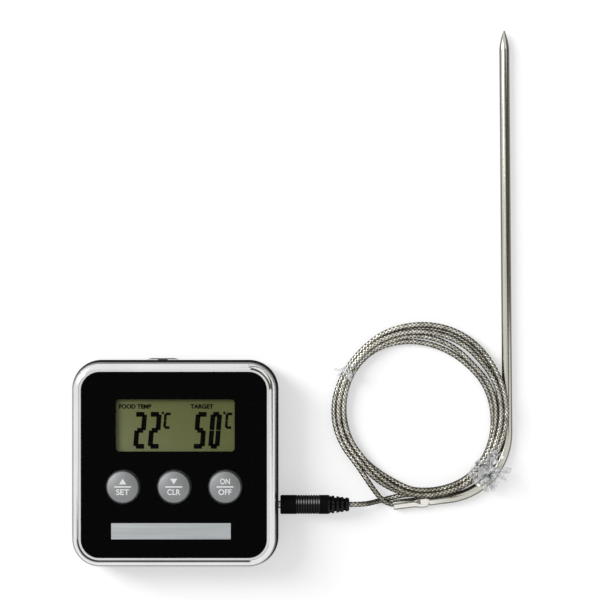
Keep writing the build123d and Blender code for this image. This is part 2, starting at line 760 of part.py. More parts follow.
# ---- screws, one profile turned about each axis
with BuildPart() as case_screws:
    with BuildSketch(Plane.XY.offset(screw_sink - screw_head_height)):
        with Locations(*corner_screws):
            Circle(screw_head_diameter / 2)
    extrude(amount=screw_head_height - 0.02)
    with BuildSketch(Plane.XY.offset(screw_sink - 0.3)):
        with Locations(*corner_screws):
            Circle(screw_diameter / 2)
    extrude(amount=split_height + screw_reach - screw_sink + 0.3)
    with BuildSketch(Plane.XY.offset(screw_sink - screw_head_height)):
        with Locations(*corner_screws):
            Rectangle(2.2, 0.5)
            Rectangle(0.5, 2.2)
    extrude(amount=0.7, mode=Mode.SUBTRACT)
write(case_screws, "case_screws")

with BuildPart() as board_screws:
    with BuildSketch(Plane.XY.offset(board_back)):
        with Locations(*board_posts):
            Circle(screw_head_diameter / 2)
    extrude(amount=-1.2)
    with BuildSketch(Plane.XY.offset(board_back)):
        with Locations(*board_posts):
            Circle(screw_diameter / 2)
    extrude(amount=screw_reach - 0.2)
write(board_screws, "board_screws")

# ---- plug: pin in three insulated parts, moulded grip with rings and a slotted boot
plug_start = half + plug_gap
plug_end = plug_start + plug_body_length
pin_end = plug_start - pin_length
plug_axis = Axis((0, socket_y, socket_z), (1, 0, 0))
pin_radius = pin_diameter / 2
plug_plane = Plane((0, socket_y, socket_z), x_dir=(1, 0, 0), z_dir=(0, -1, 0))
core_radius = 0.5
liner_radius = 0.8
tip_length = 3.3
ring_length = 0.7
sleeve_start = pin_end + tip_length + ring_length
pin_root = plug_start + 5.0

with BuildPart() as plug_tip:
    with BuildSketch(plug_plane):
        with BuildLine():
            Polyline(
                (pin_end, 0),
                (pin_end, 0.35),
                (pin_end + 1.1, pin_radius),
                (pin_end + 1.7, pin_radius),
                (pin_end + 2.3, pin_radius - 0.4),
                (pin_end + 2.9, pin_radius),
                (pin_end + tip_length, pin_radius),
                (pin_end + tip_length, core_radius),
                (pin_root + 1.5, core_radius),
                (pin_root + 1.5, 0),
                close=True,
            )
        make_face()
    revolve(axis=plug_axis)
write(plug_tip, "plug_tip")

with BuildPart() as plug_insulator:
    with BuildSketch(plug_plane):
        with BuildLine():
            Polyline(
                (pin_end + tip_length, core_radius + 0.02),
                (pin_end + tip_length, pin_radius),
                (sleeve_start, pin_radius),
                (sleeve_start, liner_radius),
                (pin_root + 0.8, liner_radius),
                (pin_root + 0.8, core_radius + 0.02),
                close=True,
            )
        make_face()
    revolve(axis=plug_axis)
write(plug_insulator, "plug_insulator")

with BuildPart() as plug_sleeve:
    with BuildSketch(plug_plane):
        with BuildLine():
            Polyline(
                (sleeve_start, liner_radius + 0.02),
                (sleeve_start, pin_radius),
                (plug_start + 0.8, pin_radius),
                (plug_start + 0.8, pin_radius + 0.6),
                (pin_root, pin_radius + 0.6),
                (pin_root, liner_radius + 0.02),
                close=True,
            )
        make_face()
    revolve(axis=plug_axis)
write(plug_sleeve, "plug_sleeve")

plug_radius = plug_diameter / 2
grip_start = plug_start + plug_collar_length
grip_end = grip_start + grip_length
boot_start = plug_end - boot_length
ring_pitch = grip_length / grip_rings
with BuildPart() as plug_body:
    with BuildSketch(plug_plane):
        with BuildLine():
            Polyline(
                (plug_start, 0),
                (plug_start, plug_radius - 0.3),
                (plug_start + 0.3, plug_radius),
                (boot_start, plug_radius),
            )
            Line((boot_start, plug_radius), (plug_end - 0.4, boot_end_diameter / 2))
            Polyline(
                (plug_end - 0.4, boot_end_diameter / 2),
                (plug_end, boot_end_diameter / 2 - 0.4),
                (plug_end, 0),
                (plug_start, 0),
            )
        make_face()
    revolve(axis=plug_axis)
    # rings of the grip
    with BuildSketch(plug_plane):
        for ring in range(grip_rings):
            ring_x = grip_start + (ring + 0.5) * ring_pitch
            with BuildLine():
                Polyline(
                    (ring_x - 0.3, plug_radius + 0.1),
                    (ring_x, plug_radius - grip_depth),
                    (ring_x + 0.3, plug_radius + 0.1),
                    close=True,
                )
            make_face()
    revolve(axis=plug_axis, mode=Mode.SUBTRACT)
    # staggered slots that let the boot flex, down to its core
    slot_pitch = (boot_length - 1.0) / boot_slot_rows
    for row in range(boot_slot_rows):
        slot_plane = Plane.YZ.offset(boot_start + 0.6 + row * slot_pitch)
        with BuildSketch(slot_plane):
            with Locations((socket_y, socket_z)):
                Circle(plug_radius + 1)
                Circle(boot_core_diameter / 2, mode=Mode.SUBTRACT)
                Rectangle(1.5, plug_diameter + 3, rotation=45 + 90 * (row % 2), mode=Mode.SUBTRACT)
        extrude(amount=boot_slot_width, mode=Mode.SUBTRACT)
    # cavity for the pin root
    with BuildSketch(plug_plane):
        with BuildLine():
            Polyline(
                (plug_start, 0),
                (plug_start, pin_radius + 0.02),
                (plug_start + 0.8, pin_radius + 0.02),
                (plug_start + 0.8, pin_radius + 0.62),
                (pin_root + 1.5, pin_radius + 0.62),
                (pin_root + 1.5, 0),
                close=True,
            )
        make_face()
    revolve(axis=plug_axis, mode=Mode.SUBTRACT)
write(plug_body, "plug_body")

# ---- lead: two free stretches with the coil between them
lead_radius = lead_diameter / 2
plug_route = [
    (plug_end, socket_y, socket_z),
    (plug_end + 2.7, socket_y, socket_z),
    (64.75, -14.35, 5.05),
    (66.97, -14.15, 2.8),
    (69.9, -13.5, 1.4),
    (73.3, -12.7, 1.35),
    (76.8, -11.7, 1.45),
    (80.2, -11.0, 1.6),
]
probe_route = [
    (57.6, 6.6, 3.4),
    (59.4, 3.2, 3.6),
    (61.5, -0.4, 3.7),
    (64.0, -4.2, 3.8),
    (66.6, -8.3, 4.0),
    (69.6, -12.3, 4.0),
    (71.6, -13.9, 3.5),
    (73.8, -14.75, 2.5),
    (76.2, -14.75, probe_z),
]


def route_radii(points):
    """Largest tangent arc that each corner's two runs allow."""
    radii = []
    for before, corner, after in zip(points, points[1:], points[2:]):
        first = Vector(*corner) - Vector(*before)
        second = Vector(*after) - Vector(*corner)
        shorter = min(first.length, second.length)
        radii.append(0.45 * shorter / tan(radians(first.get_angle(second)) / 2))
    return radii


for lead_name, route in (("lead_from_plug", plug_route), ("lead_to_probe", probe_route)):
    corner_radii = route_radii(route)
    print(lead_name, "radii", [round(radius, 1) for radius in corner_radii])
    with BuildPart() as lead:
        with BuildLine() as lead_path:
            FilletPolyline(*route, radius=corner_radii)
        with BuildSketch(Plane(lead_path.line @ 0, z_dir=lead_path.line % 0)):
            Circle(lead_radius)
        sweep()
    swept_volume = pi * lead_radius**2 * sum(edge.length for edge in lead_path.edges())
    print(lead_name, "volume ratio", round(lead.part.volume / swept_volume, 4))
    write(lead, lead_name)

# ---- probe: bent tube with a crimped tail, welded point, sensor and its wires
tail_end = Vector(tail_x, tail_y, probe_z)
corner_point = Vector(*probe_corner, probe_z)
tip_end = Vector(probe_tip_x, probe_tip_y, probe_z)
tail_direction = (corner_point - tail_end).normalized()
shaft_direction = (tip_end - corner_point).normalized()
crimp_end = tail_end + tail_direction * (crimp_start + crimp_length)
point_base = tip_end - shaft_direction * probe_point_length
tube_radius = probe_diameter / 2


def probe_path(start, end):
    """Straight tail and straight shaft joined by the bend."""
    return FilletPolyline(start, corner_point, end, radius=probe_bend_radius)


with BuildPart() as probe_tube:
    with BuildLine() as tube_path:
        probe_path(crimp_end, point_base)
    with BuildSketch(Plane(tube_path.line @ 0, z_dir=tube_path.line % 0)):
        Circle(tube_radius)
    sweep()
    tail_plane = Plane(tail_end, z_dir=tail_direction)
    with BuildSketch(tail_plane):
        Circle(tube_radius)
    extrude(amount=crimp_start)
    # crimp: round to flat and back, with a pinch where it meets the tube
    crimp_sections = (
        (0.0, probe_diameter, probe_diameter),
        (0.4, crimp_width, crimp_height),
        (0.85, crimp_width, crimp_height),
        (1.0, pinch_diameter, pinch_diameter),
    )
    for share, flat_width, flat_height in crimp_sections:
        section_centre = tail_end + tail_direction * (crimp_start + share * crimp_length)
        section_plane = Plane(
            section_centre, x_dir=tail_direction.cross(Vector(0, 0, 1)), z_dir=tail_direction
        )
        with BuildSketch(section_plane):
            RectangleRounded(flat_width, flat_height, 0.499 * min(flat_width, flat_height))
    loft(ruled=True)
    # bore: wide for the wires, closed down on the lead's end at the crimp
    with BuildLine() as bore_path:
        probe_path(crimp_end + tail_direction * 1.2, point_base + shaft_direction * 0.5)
    with BuildSketch(Plane(bore_path.line @ 0, z_dir=bore_path.line % 0)):
        Circle(probe_bore / 2)
    sweep(mode=Mode.SUBTRACT)
    with BuildSketch(tail_plane):
        Circle(lead_radius + 0.02)
    extrude(amount=crimp_start + crimp_length + 1.4, mode=Mode.SUBTRACT)
    with BuildSketch(tail_plane):
        Circle(probe_bore / 2)
    extrude(amount=crimp_start, mode=Mode.SUBTRACT)
write(probe_tube, "probe_tube")

with BuildPart() as probe_tip:
    with BuildSketch(Plane(point_base, z_dir=shaft_direction)):
        Circle(tube_radius)
    extrude(amount=0.6)
    with BuildSketch(Plane(point_base + shaft_direction * 0.6, z_dir=shaft_direction)):
        Circle(tube_radius)
    with BuildSketch(Plane(point_base + shaft_direction * 3.4, z_dir=shaft_direction)):
        Circle(tube_radius * 0.74)
    with BuildSketch(Plane(tip_end, z_dir=shaft_direction)):
        Circle(0.15)
    loft()
    with BuildSketch(Plane(point_base, z_dir=shaft_direction)):
        Circle(probe_bore / 2 - 0.02)
    extrude(amount=-1.2)
write(probe_tip, "probe_tip")

with BuildPart() as lead_end:
    lead_mouth = Vector(*probe_route[-1])
    along = (lead_mouth - tail_end).dot(tail_direction)
    with BuildSketch(Plane(tail_end + tail_direction * (along + lead_radius * 0.4), z_dir=tail_direction)):
        Circle(lead_radius)
    extrude(amount=crimp_start + crimp_length - along)
write(lead_end, "lead_end")

sensor_start = point_base - shaft_direction * 6.0
with BuildPart() as thermistor:
    with BuildSketch(Plane(sensor_start, z_dir=shaft_direction)):
        Circle(0.9)
    extrude(amount=4.4)
    fillet(thermistor.edges(), 0.6)
write(thermistor, "thermistor")

wire_start = crimp_end + tail_direction * 1.4
with BuildPart() as thermistor_wires:
    for level in (-0.45, 0.45):
        lift = Vector(0, 0, level)
        with BuildLine() as wire_path:
            FilletPolyline(
                wire_start + lift,
                corner_point + lift,
                sensor_start - shaft_direction * 0.05 + lift,
                radius=probe_bend_radius,
            )
        with BuildSketch(Plane(wire_path.line @ 0, z_dir=wire_path.line % 0)):
            Circle(0.28)
        sweep()
write(thermistor_wires, "thermistor_wires")

# ---- coil of lead: ring with the two circles' eccentric outline, channelled over the probe
with BuildPart() as lead_coil:
    with BuildSketch(Plane.XY.offset(coil_bottom)):
        with Locations((coil_outer_x, coil_outer_y)):
            Circle(coil_outer_radius)
        with Locations((coil_inner_x, coil_inner_y)):
            Circle(coil_inner_radius, mode=Mode.SUBTRACT)
    extrude(amount=coil_top - coil_bottom)
    chamfer(lead_coil.edges().filter_by(GeomType.CIRCLE), 1.2)
    with BuildLine() as channel_path:
        probe_path(tail_end - tail_direction, tip_end)
    with BuildSketch(Plane(channel_path.line @ 0, z_dir=channel_path.line % 0)):
        Rectangle(crimp_width + 2 * coil_clearance, crimp_width + 2 * coil_clearance)
    sweep(mode=Mode.SUBTRACT)
write(lead_coil, "lead_coil")

# ---- clear twist ties: a band round the bundle with a twisted tail
tie_floor = 0.05
tie_roof = coil_top + 0.4
tie_places = (
    ("tie_lower", -41.5, coil_inner_radius - 0.9, coil_outer_radius + 5.9),
    ("tie_upper", 152.7, coil_inner_radius - 0.5, coil_outer_radius + 1.1),
)
for tie_name, bearing, reach_in, reach_out in tie_places:
    outward = Vector(cos(radians(bearing)), sin(radians(bearing)), 0)
    centre = Vector(coil_outer_x, coil_outer_y - 1.0, 0) + outward * (reach_in + reach_out) / 2
    band_plane = Plane(
        centre + Vector(0, 0, (tie_floor + tie_roof) / 2),
        x_dir=outward,
        z_dir=outward.cross(Vector(0, 0, 1)),
    )
    band_length = reach_out - reach_in
    band_height = tie_roof - tie_floor
    with BuildPart() as tie:
        with BuildSketch(band_plane):
            RectangleRounded(band_length, band_height, 1.6)
            RectangleRounded(
                band_length - 2 * tie_film, band_height - 2 * tie_film, 1.4, mode=Mode.SUBTRACT
            )
        extrude(amount=tie_width / 2, both=True)
        tail_start = centre + Vector(0, 0, tie_roof + 0.45)
        with BuildSketch(Plane(tail_start, z_dir=outward * 0.8 + Vector(0, 0, 0.6))):
            Rectangle(1.6, 0.6)
        extrude(amount=tie_tail)
    write(tie, tie_name)
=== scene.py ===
# %% [markdown]
# # Wired meat thermometer
# This lesson dresses a packed thermometer: a square display unit, a plug, a braided lead wound in a
# loose coil and a bent steel probe. The rigid pieces already exist and are never moved. Here they
# get their finishes, and the lead, the display's segments, the key legends and the film ties are
# modelled. Everything is in metres, with the unit's back face centred on the origin.

import math

import bpy
import numpy as np
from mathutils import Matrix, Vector


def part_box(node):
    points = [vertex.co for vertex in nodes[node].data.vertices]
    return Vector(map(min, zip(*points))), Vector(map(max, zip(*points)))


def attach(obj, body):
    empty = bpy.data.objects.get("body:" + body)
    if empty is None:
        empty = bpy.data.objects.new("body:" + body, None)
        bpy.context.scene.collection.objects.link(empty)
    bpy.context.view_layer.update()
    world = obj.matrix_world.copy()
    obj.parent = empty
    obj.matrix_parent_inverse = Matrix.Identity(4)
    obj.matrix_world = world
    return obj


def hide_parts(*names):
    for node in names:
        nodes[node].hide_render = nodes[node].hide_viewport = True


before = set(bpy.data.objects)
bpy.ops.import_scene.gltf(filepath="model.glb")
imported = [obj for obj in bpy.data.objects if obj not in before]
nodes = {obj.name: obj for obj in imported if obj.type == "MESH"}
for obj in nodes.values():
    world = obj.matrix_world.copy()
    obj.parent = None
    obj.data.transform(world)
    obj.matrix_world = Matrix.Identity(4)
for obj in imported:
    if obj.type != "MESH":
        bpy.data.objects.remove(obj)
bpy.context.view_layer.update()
MM = 0.001
print("loaded", len(nodes), "solid pieces")

# %% [markdown]
# ## Camera
# The thermometer lies flat and is looked at from straight above. A long lens far away keeps the
# square unit square, where a wide one close by would show its sides.

# %% Camera
camera_data = bpy.data.cameras.new("overhead_camera")
camera_data.lens = 125.6
camera_data.sensor_width = 36.0
camera = bpy.data.objects.new("overhead_camera", camera_data)
camera.location = (0.0423, 0.0553, 0.720)
bpy.context.scene.collection.objects.link(camera)
bpy.context.scene.camera = camera
bpy.context.scene.view_settings.view_transform = "Standard"
print("camera", tuple(round(value, 4) for value in camera.location))

# %% [markdown]
# ## Making and measuring objects
# Everything new starts as a curve or as plain lists of points and faces. Its object stays at the
# origin and its place is in its mesh, so that it shares one frame with the solid pieces.


# %% Helpers that make objects
def add_object(name, data):
    """A new object at the origin, in the scene's own collection."""
    piece = bpy.data.objects.new(name, data)
    bpy.context.scene.collection.objects.link(piece)
    return piece


def mesh_object(name, vertices, faces=(), edges=()):
    """A mesh object from plain lists of points, edges and faces."""
    data = bpy.data.meshes.new(name)
    data.from_pydata([tuple(map(float, point)) for point in vertices], list(edges), list(faces))
    data.update()
    return add_object(name, data)


def smooth(piece):
    """The piece, shaded without facets."""
    piece.data.polygons.foreach_set("use_smooth", [True] * len(piece.data.polygons))
    return piece


def plain_copy(piece):
    """The piece as a plain mesh, with its curve or modifiers worked in."""
    bpy.context.view_layer.update()
    graph = bpy.context.evaluated_depsgraph_get()
    return bpy.data.meshes.new_from_object(piece.evaluated_get(graph))


def middle(node):
    """The centre of a solid piece's box."""
    return [(low + high) / 2 for low, high in zip(*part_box(node))]


# %% [markdown]
# ## A short way to write node networks
# Node networks are easier to read as sums than as wires. A Value wraps one output socket, and the
# operators on it add Math nodes. Any other node, in a material or in a geometry tree, comes from
# the one method add().


# %% Value and Network
class Value:
    """One output socket that Python's operators work on."""

    def __init__(self, network, socket):
        self.network, self.socket = network, socket

    def math(self, operation, *others, reflected=False):
        """A Math node with this value as its first term, or its last one where reflected."""
        terms = (*others, self) if reflected else (self, *others)
        return self.network.add("ShaderNodeMath", {"operation": operation}, dict(enumerate(terms)))

    def __add__(self, other):
        return self.math("ADD", other)

    def __radd__(self, other):
        return self.math("ADD", other, reflected=True)

    def __sub__(self, other):
        return self.math("SUBTRACT", other)

    def __rsub__(self, other):
        return self.math("SUBTRACT", other, reflected=True)

    def __mul__(self, other):
        return self.math("MULTIPLY", other)

    def __rmul__(self, other):
        return self.math("MULTIPLY", other, reflected=True)

    def __truediv__(self, other):
        return self.math("DIVIDE", other)

    def __mod__(self, other):
        return self.math("FLOORED_MODULO", other)

    def __pow__(self, other):
        return self.math("POWER", other)

    def __abs__(self):
        return self.math("ABSOLUTE")

    def at_least(self, other):
        return self.math("MAXIMUM", other)

    def at_most(self, other):
        return self.math("MINIMUM", other)

    def clamped(self, highest=1.0):
        return self.at_least(0.0).at_most(highest)


class Network:
    """Nodes added one by one to a tree, each with its settings and then its sockets."""

    def __init__(self, tree):
        self.tree = tree

    def add(self, kind, settings=None, inputs=None, output=0):
        node = self.tree.nodes.new(kind)
        for key, value in (settings or {}).items():
            if key == "stops":
                elements = node.color_ramp.elements
                for _ in value[2:]:
                    elements.new(0.5)
                for element, (place, colour) in zip(elements, value):
                    element.position, element.color = place, colour
            else:
                setattr(node, key, value)
        for key, value in (inputs or {}).items():
            if isinstance(value, Value):
                self.tree.links.new(value.socket, node.inputs[key])
            elif isinstance(value, list):
                for each in value:
                    self.tree.links.new(each.socket, node.inputs[key])
            else:
                node.inputs[key].default_value = value
        return Value(self, node.outputs[output])


# %% Finish: a material whose inputs vary over the surface
def shade(code):
    """A solid colour from its six-digit code, made linear for the shaders."""
    levels = [int(code[place : place + 2], 16) / 255 for place in (0, 2, 4)]
    linear = [v / 12.92 if v <= 0.04045 else ((v + 0.055) / 1.055) ** 2.4 for v in levels]
    return (*linear, 1.0)


class Finish(Network):
    """A Principled material. Constants are set on its sockets and patterns are fed to them."""

    def __init__(self, name, code="808080", roughness=0.5, metallic=0.0, **constants):
        self.material = bpy.data.materials.new(name)
        self.material.use_nodes = True
        super().__init__(self.material.node_tree)
        self.shader = self.tree.nodes["Principled BSDF"]
        self.shader.inputs["Base Color"].default_value = shade(code)
        self.shader.inputs["Roughness"].default_value = roughness
        self.shader.inputs["Metallic"].default_value = metallic
        for socket, value in constants.items():
            self.shader.inputs[socket.replace("_", " ")].default_value = value

    def feed(self, socket, value):
        self.tree.links.new(value.socket, self.shader.inputs[socket])

    def along(self, axis):
        """One object coordinate, X, Y or Z, in metres."""
        where = self.add("ShaderNodeTexCoord", output="Object")
        return self.add("ShaderNodeSeparateXYZ", inputs={"Vector": where}, output=axis)

    def rise(self, axis, start, slope):
        """0 up to a place on an axis, then a slope to 1. A minus slope rises the other way."""
        return ((self.along(axis) - start) * slope).clamped()

    def noise(self, per_metre, detail=3.0, stretch=(1, 1, 1)):
        """Soft noise between 0 and 1. A small stretch on one axis draws it out along that axis."""
        where = self.add("ShaderNodeTexCoord", output="Object")
        grain = self.add("ShaderNodeMapping", inputs={"Vector": where, "Scale": stretch})
        inputs = {"Vector": grain, "Scale": per_metre, "Detail": detail}
        return self.add("ShaderNodeTexNoise", inputs=inputs)

    def ramp(self, value, *stops):
        """A colour that runs through stops, each a place from 0 to 1 and a colour code."""
        stops = [(place, shade(code)) for place, code in stops]
        return self.add("ShaderNodeValToRGB", {"stops": stops}, {"Fac": value})

    def blend(self, amount, first, second):
        """A mix of two colour codes."""
        inputs = {0: amount, 6: shade(first), 7: shade(second)}
        return self.add("ShaderNodeMix", {"data_type": "RGBA"}, inputs, output=2)

    def bump(self, height, strength, distance):
        inputs = {"Height": height, "Strength": strength, "Distance": distance}
        self.feed("Normal", self.add("ShaderNodeBump", inputs=inputs))


def dress(finish, *pieces):
    """Give whole pieces one finish. A solid piece is called by its name."""
    targets = [nodes[piece] if isinstance(piece, str) else piece for piece in pieces]
    for target in targets:
        target.data.materials.clear()
        target.data.materials.append(finish.material)
    print(finish.material.name, "is on", ", ".join(target.name for target in targets))


# %% [markdown]
# ## Geometry Nodes in a few lines
# A Maker is a geometry tree with named inputs. run() puts it on a host mesh, sets those inputs by
# their identifiers, and keeps the result as a plain mesh, because instances and live modifiers
# are lost when a model is exported.


# %% Maker: a geometry tree
class Maker(Network):
    """A geometry tree that ends in Realize Instances and Set Material."""

    def __init__(self, name, **sizes):
        super().__init__(bpy.data.node_groups.new(name, "GeometryNodeTree"))
        self.sizes = sizes
        interface = self.tree.interface
        interface.new_socket("Geometry", in_out="INPUT", socket_type="NodeSocketGeometry")
        kinds = {bpy.types.Object: "Object", int: "Int", float: "Float", Vector: "Vector"}
        for label, value in sizes.items():
            interface.new_socket(label, in_out="INPUT", socket_type="NodeSocket" + kinds[type(value)])
        interface.new_socket("Material", in_out="INPUT", socket_type="NodeSocketMaterial")
        interface.new_socket("Geometry", in_out="OUTPUT", socket_type="NodeSocketGeometry")
        self.entry = self.tree.nodes.new("NodeGroupInput")

    def size(self, label):
        return Value(self, self.entry.outputs[label])

    def finish_with(self, geometry):
        real = self.add("GeometryNodeRealizeInstances", inputs={"Geometry": geometry})
        inputs = {"Geometry": real, "Material": self.size("Material")}
        coloured = self.add("GeometryNodeSetMaterial", inputs=inputs)
        way_out = self.tree.nodes.new("NodeGroupOutput")
        self.tree.links.new(coloured.socket, way_out.inputs["Geometry"])

    def run(self, host, finish):
        """The host's mesh replaced by what the tree makes of it."""
        modifier = host.modifiers.new("maker", "NODES")
        modifier.node_group = self.tree
        for item in self.tree.interface.items_tree:
            if item.in_out == "INPUT" and item.name in self.sizes:
                modifier[item.identifier] = self.sizes[item.name]
            if item.in_out == "INPUT" and item.name == "Material":
                modifier[item.identifier] = finish.material
        result = plain_copy(host)
        name = host.name
        bpy.data.objects.remove(host)
        piece = add_object(name, result)
        print(name, "has", len(result.polygons), "faces")
        return piece


# %% [markdown]
# ## Floor and studio
# A white floor takes a soft shadow. The world is white for the eye and for mirror reflections and
# weaker for the light it throws. Steel and black gloss only look right when they have something
# dark to mirror, so dark and grey cards hang over the scene and stand round it, as in a product
# studio. Only mirror rays see the cards, so they throw no shade. Mirrors see a greyer floor too:
# painted shade, which stands for a real sheet of paper darkening away from the lamps.

# %% Floor
floor_level = -0.1 * MM
reach = 3.0
corners = [(-reach, -reach), (reach, -reach), (reach, reach), (-reach, reach)]
floor = mesh_object("studio_floor", [(x, y, floor_level) for x, y in corners], [(0, 1, 2, 3)])
paper = Finish("studio_floor", roughness=1.0, Specular_IOR_Level=0.0, Emission_Strength=1.0)
seen = paper.add("ShaderNodeLightPath", output="Is Camera Ray")
paper.feed("Emission Color", paper.blend(seen, "000000", "b9b9b9"))
mirrored = paper.add("ShaderNodeLightPath", output="Is Glossy Ray")
# painted shade: mirror rays see the floor a darker grey than the camera does
paper.feed("Base Color", paper.blend(mirrored, "e6e6e6", "b0b0b0"))
dress(paper, floor)


# %% Cards that only mirror rays see
def studio_card(name, code, corners):
    """A flat card that glows in one colour and is seen in mirrors alone."""
    card = mesh_object(name, corners, [tuple(range(len(corners)))])
    glow = {"Emission_Color": shade(code), "Emission_Strength": 1.0}
    dress(Finish(name, "000000", roughness=1.0, Specular_IOR_Level=0.0, **glow), card)
    card.visible_camera = card.visible_diffuse = card.visible_shadow = False
    card.visible_transmission = card.visible_volume_scatter = False


def hung_card(name, code, level, *outline):
    """A level card over the scene."""
    studio_card(name, code, [(x, y, level) for x, y in outline])


def standing_card(name, code, low, high, start, end):
    """An upright card over a line on the floor."""
    studio_card(name, code, [(*start, low), (*end, low), (*end, high), (*start, high)])


# %% Ten cards
TOP = 1.2
right, far = 1.6, 1.5
over_probe = [(0.8, -0.10), (right, 0.05), (right, 0.32), (0.24, 0.32), (0.24, 0.10)]
hung_card("over_probe_card", "57564a", TOP, *over_probe, (0.45, 0.03), (0.45, -0.10))
hung_card("over_tail_card", "3a352b", TOP, (0.05, 0.32), (0.13, 0.32), (0.06, far), (-0.05, far))
standing_card("far_wall_card", "4e483c", 0.0, TOP, (0.13, far), (right, far))
standing_card("right_wall_card", "57564a", 0.0, TOP, (right, 0.04), (right, far))
for name, code, low, high in (("near", "30302e", 0.0, 0.5), ("near_upper", "a0a09e", 0.5, 0.95)):
    standing_card(name + "_card", code, low, high, (-1.0, -0.6), (0.06, -1.1))
    left_name = name.replace("near", "near_left") + "_card"
    standing_card(left_name, code, low, high, (-1.25, -0.15), (-1.0, -0.6))
near_tail = [(0.085, 0.08), (0.155, 0.08), (0.13, 0.33), (0.05, 0.33)]
hung_card("near_tail_card", "241f18", TOP - 0.01, *near_tail)
overhead = [(-0.30, -0.32), (0.12, -0.32), (0.12, 0.08), (-0.30, 0.08)]
hung_card("overhead_card", "ececec", TOP + 0.01, *overhead)

# %% World
world = bpy.data.worlds.new("studio_world")
bpy.context.scene.world = world
world.use_nodes = True
sky = Network(world.node_tree)
kinds = ("Camera", "Glossy", "Transmission")
rays = [sky.add("ShaderNodeLightPath", output=f"Is {kind} Ray") for kind in kinds]
direct = (rays[0] + rays[1] + rays[2]).at_most(1.0)
THROWN = 0.38
background = world.node_tree.nodes["Background"]
background.inputs["Color"].default_value = shade("ffffff")
world.node_tree.links.new((THROWN + (1.0 - THROWN) * direct).socket, background.inputs["Strength"])
print("the world throws", THROWN, "of the white that eyes and mirrors see")


# %% Key light
def area_lamp(name, place, aim, size, power):
    """A rectangular soft light, its width and height given, that looks at a point."""
    data = bpy.data.lights.new(name, "AREA")
    data.shape = "RECTANGLE"
    data.size, data.size_y = size
    data.energy = power
    lamp = add_object(name, data)
    lamp.location = place
    lamp.rotation_euler = (Vector(aim) - Vector(place)).to_track_quat("-Z", "Y").to_euler()


KEY_POWER = 13.5
area_lamp("key_light", place=(-0.95, 0.56, 0.95), aim=(0.04, 0.05, 0.0), size=(0.5, 1.0), power=KEY_POWER)
print("one key light of", KEY_POWER, "W")

# %% [markdown]
# ## Case, cover and stand
# The back half of the unit, the cell cover and the fold-out stand are black moulded plastic with a
# fine spark-eroded grain. The grain is a bump from noise, since it is far too fine to model.

# %% Black moulded plastic
case_plastic = Finish("case_plastic", Specular_IOR_Level=0.2)
grain = case_plastic.noise(2400, detail=2)
mottle = case_plastic.noise(70)
case_plastic.feed("Base Color", case_plastic.ramp(mottle, (0.3, "0b0b0c"), (0.7, "151516")))
case_plastic.feed("Roughness", 0.22 + 0.18 * grain)
case_plastic.bump(grain, 0.2, 0.00006)
dress(case_plastic, "rear_case", "battery_cover", "stand")

# %% [markdown]
# ## Plated bezel
# The front frame is plastic under a bright nickel-chrome plating. Plating on plastic is never dead
# flat, so a very shallow wide bump bends its reflections, and handling leaves it a little duller
# in patches. The hollow at the foot of the raised lip is bump too, and so is a slight levelling of
# the roll outside it, because both are finer than the solid's own facets.

# %% Bright plating
plating = Finish("plated_plastic", metallic=1.0)
haze = plating.noise(55, detail=2)
plating.feed("Base Color", plating.ramp(haze, (0.3, "e0e1e1"), (0.7, "e9e9e9")))
plating.feed("Roughness", 0.07 + 0.09 * haze)
LIP_HALF, LIP_CORNER = 0.0321, 0.0071
COVE, COVE_SLOPE = 0.0008, 0.85
ROLL, ROLL_START, ROLL_END = 0.0019, 0.0003, 0.74
# how far a point is outside the lip, which is a square with round corners
aside = [abs(plating.along(axis)) - (LIP_HALF - LIP_CORNER) for axis in "XY"]
outer = [distance.at_least(0.0) for distance in aside]
from_corner = (outer[0] * outer[0] + outer[1] * outer[1]).math("SQRT")
from_lip = from_corner + aside[0].at_least(aside[1]).at_most(0.0) - LIP_CORNER
outward = from_lip.at_least(0.0)
# heights in metres: the hollow at the lip's foot, then the levelling of the roll
cove = (outward * (-1.0 / COVE)).math("EXPONENT") * (COVE_SLOPE * COVE)
rolled = ((outward - ROLL_START) * (1.0 / ROLL)).clamped(ROLL_END)
levelled = (1.0 - rolled * rolled).math("LOGARITHM", math.e) * (-0.5 * ROLL)
ripple = plating.noise(160, detail=1) * 0.000014
plating.bump(cove + levelled + ripple, 1.0, 1.0)
dress(plating, "front_bezel")

# %% [markdown]
# ## Face panel, display and strip
# The panel is deep gloss black. The display is an olive liquid crystal sandwich under a clear lens,
# with painted light: lighter and greyer at its rim and towards its lower left. The strip below it
# is brushed bare metal. All of them are flat slabs, so patterns on Object coordinates say the rest.

# %% Gloss black panel
panel_gloss = Finish("panel_plastic", Specular_IOR_Level=0.03)
dust = panel_gloss.noise(900, detail=4)
panel_gloss.feed("Base Color", panel_gloss.ramp(dust, (0.35, "010101"), (0.8, "040404")))
panel_gloss.feed("Roughness", 0.05 + 0.05 * dust)
dress(panel_gloss, "face_panel")

# %% Olive display glass
display = Finish("display_glass", Specular_IOR_Level=0.08)
across, upward = (
    (display.along(axis) - (low + high) / 2) / ((high - low) / 2)
    for axis, low, high in zip("XY", *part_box("display_lens"))
)
near_edge = abs(across).at_least(abs(upward))
# painted light: lighter towards the rim and towards the lower left, plus a fine mottle
painted_rim_light = (near_edge**7).at_most(1.0)
painted_side_light = (0.35 - 0.32 * across - 0.24 * upward) * 0.8
glow = painted_side_light.at_least(0.0) + 0.35 * painted_rim_light + 0.1 * display.noise(120)
display.feed("Base Color", display.ramp(glow, (0.0, "65683f"), (0.35, "707449"), (1.0, "8a8e6a")))
display.feed("Roughness", 0.35 + 0.15 * display.noise(1500))
dress(display, "lcd_glass")

# %% Clear lens
lens = Finish("clear_plastic", "20231c", Specular_IOR_Level=0.3)
scuff = lens.noise(700, detail=4)
lens.feed("Roughness", 0.04 + 0.08 * scuff)
lens.feed("Alpha", 0.012 + 0.012 * scuff)
dress(lens, "display_lens")

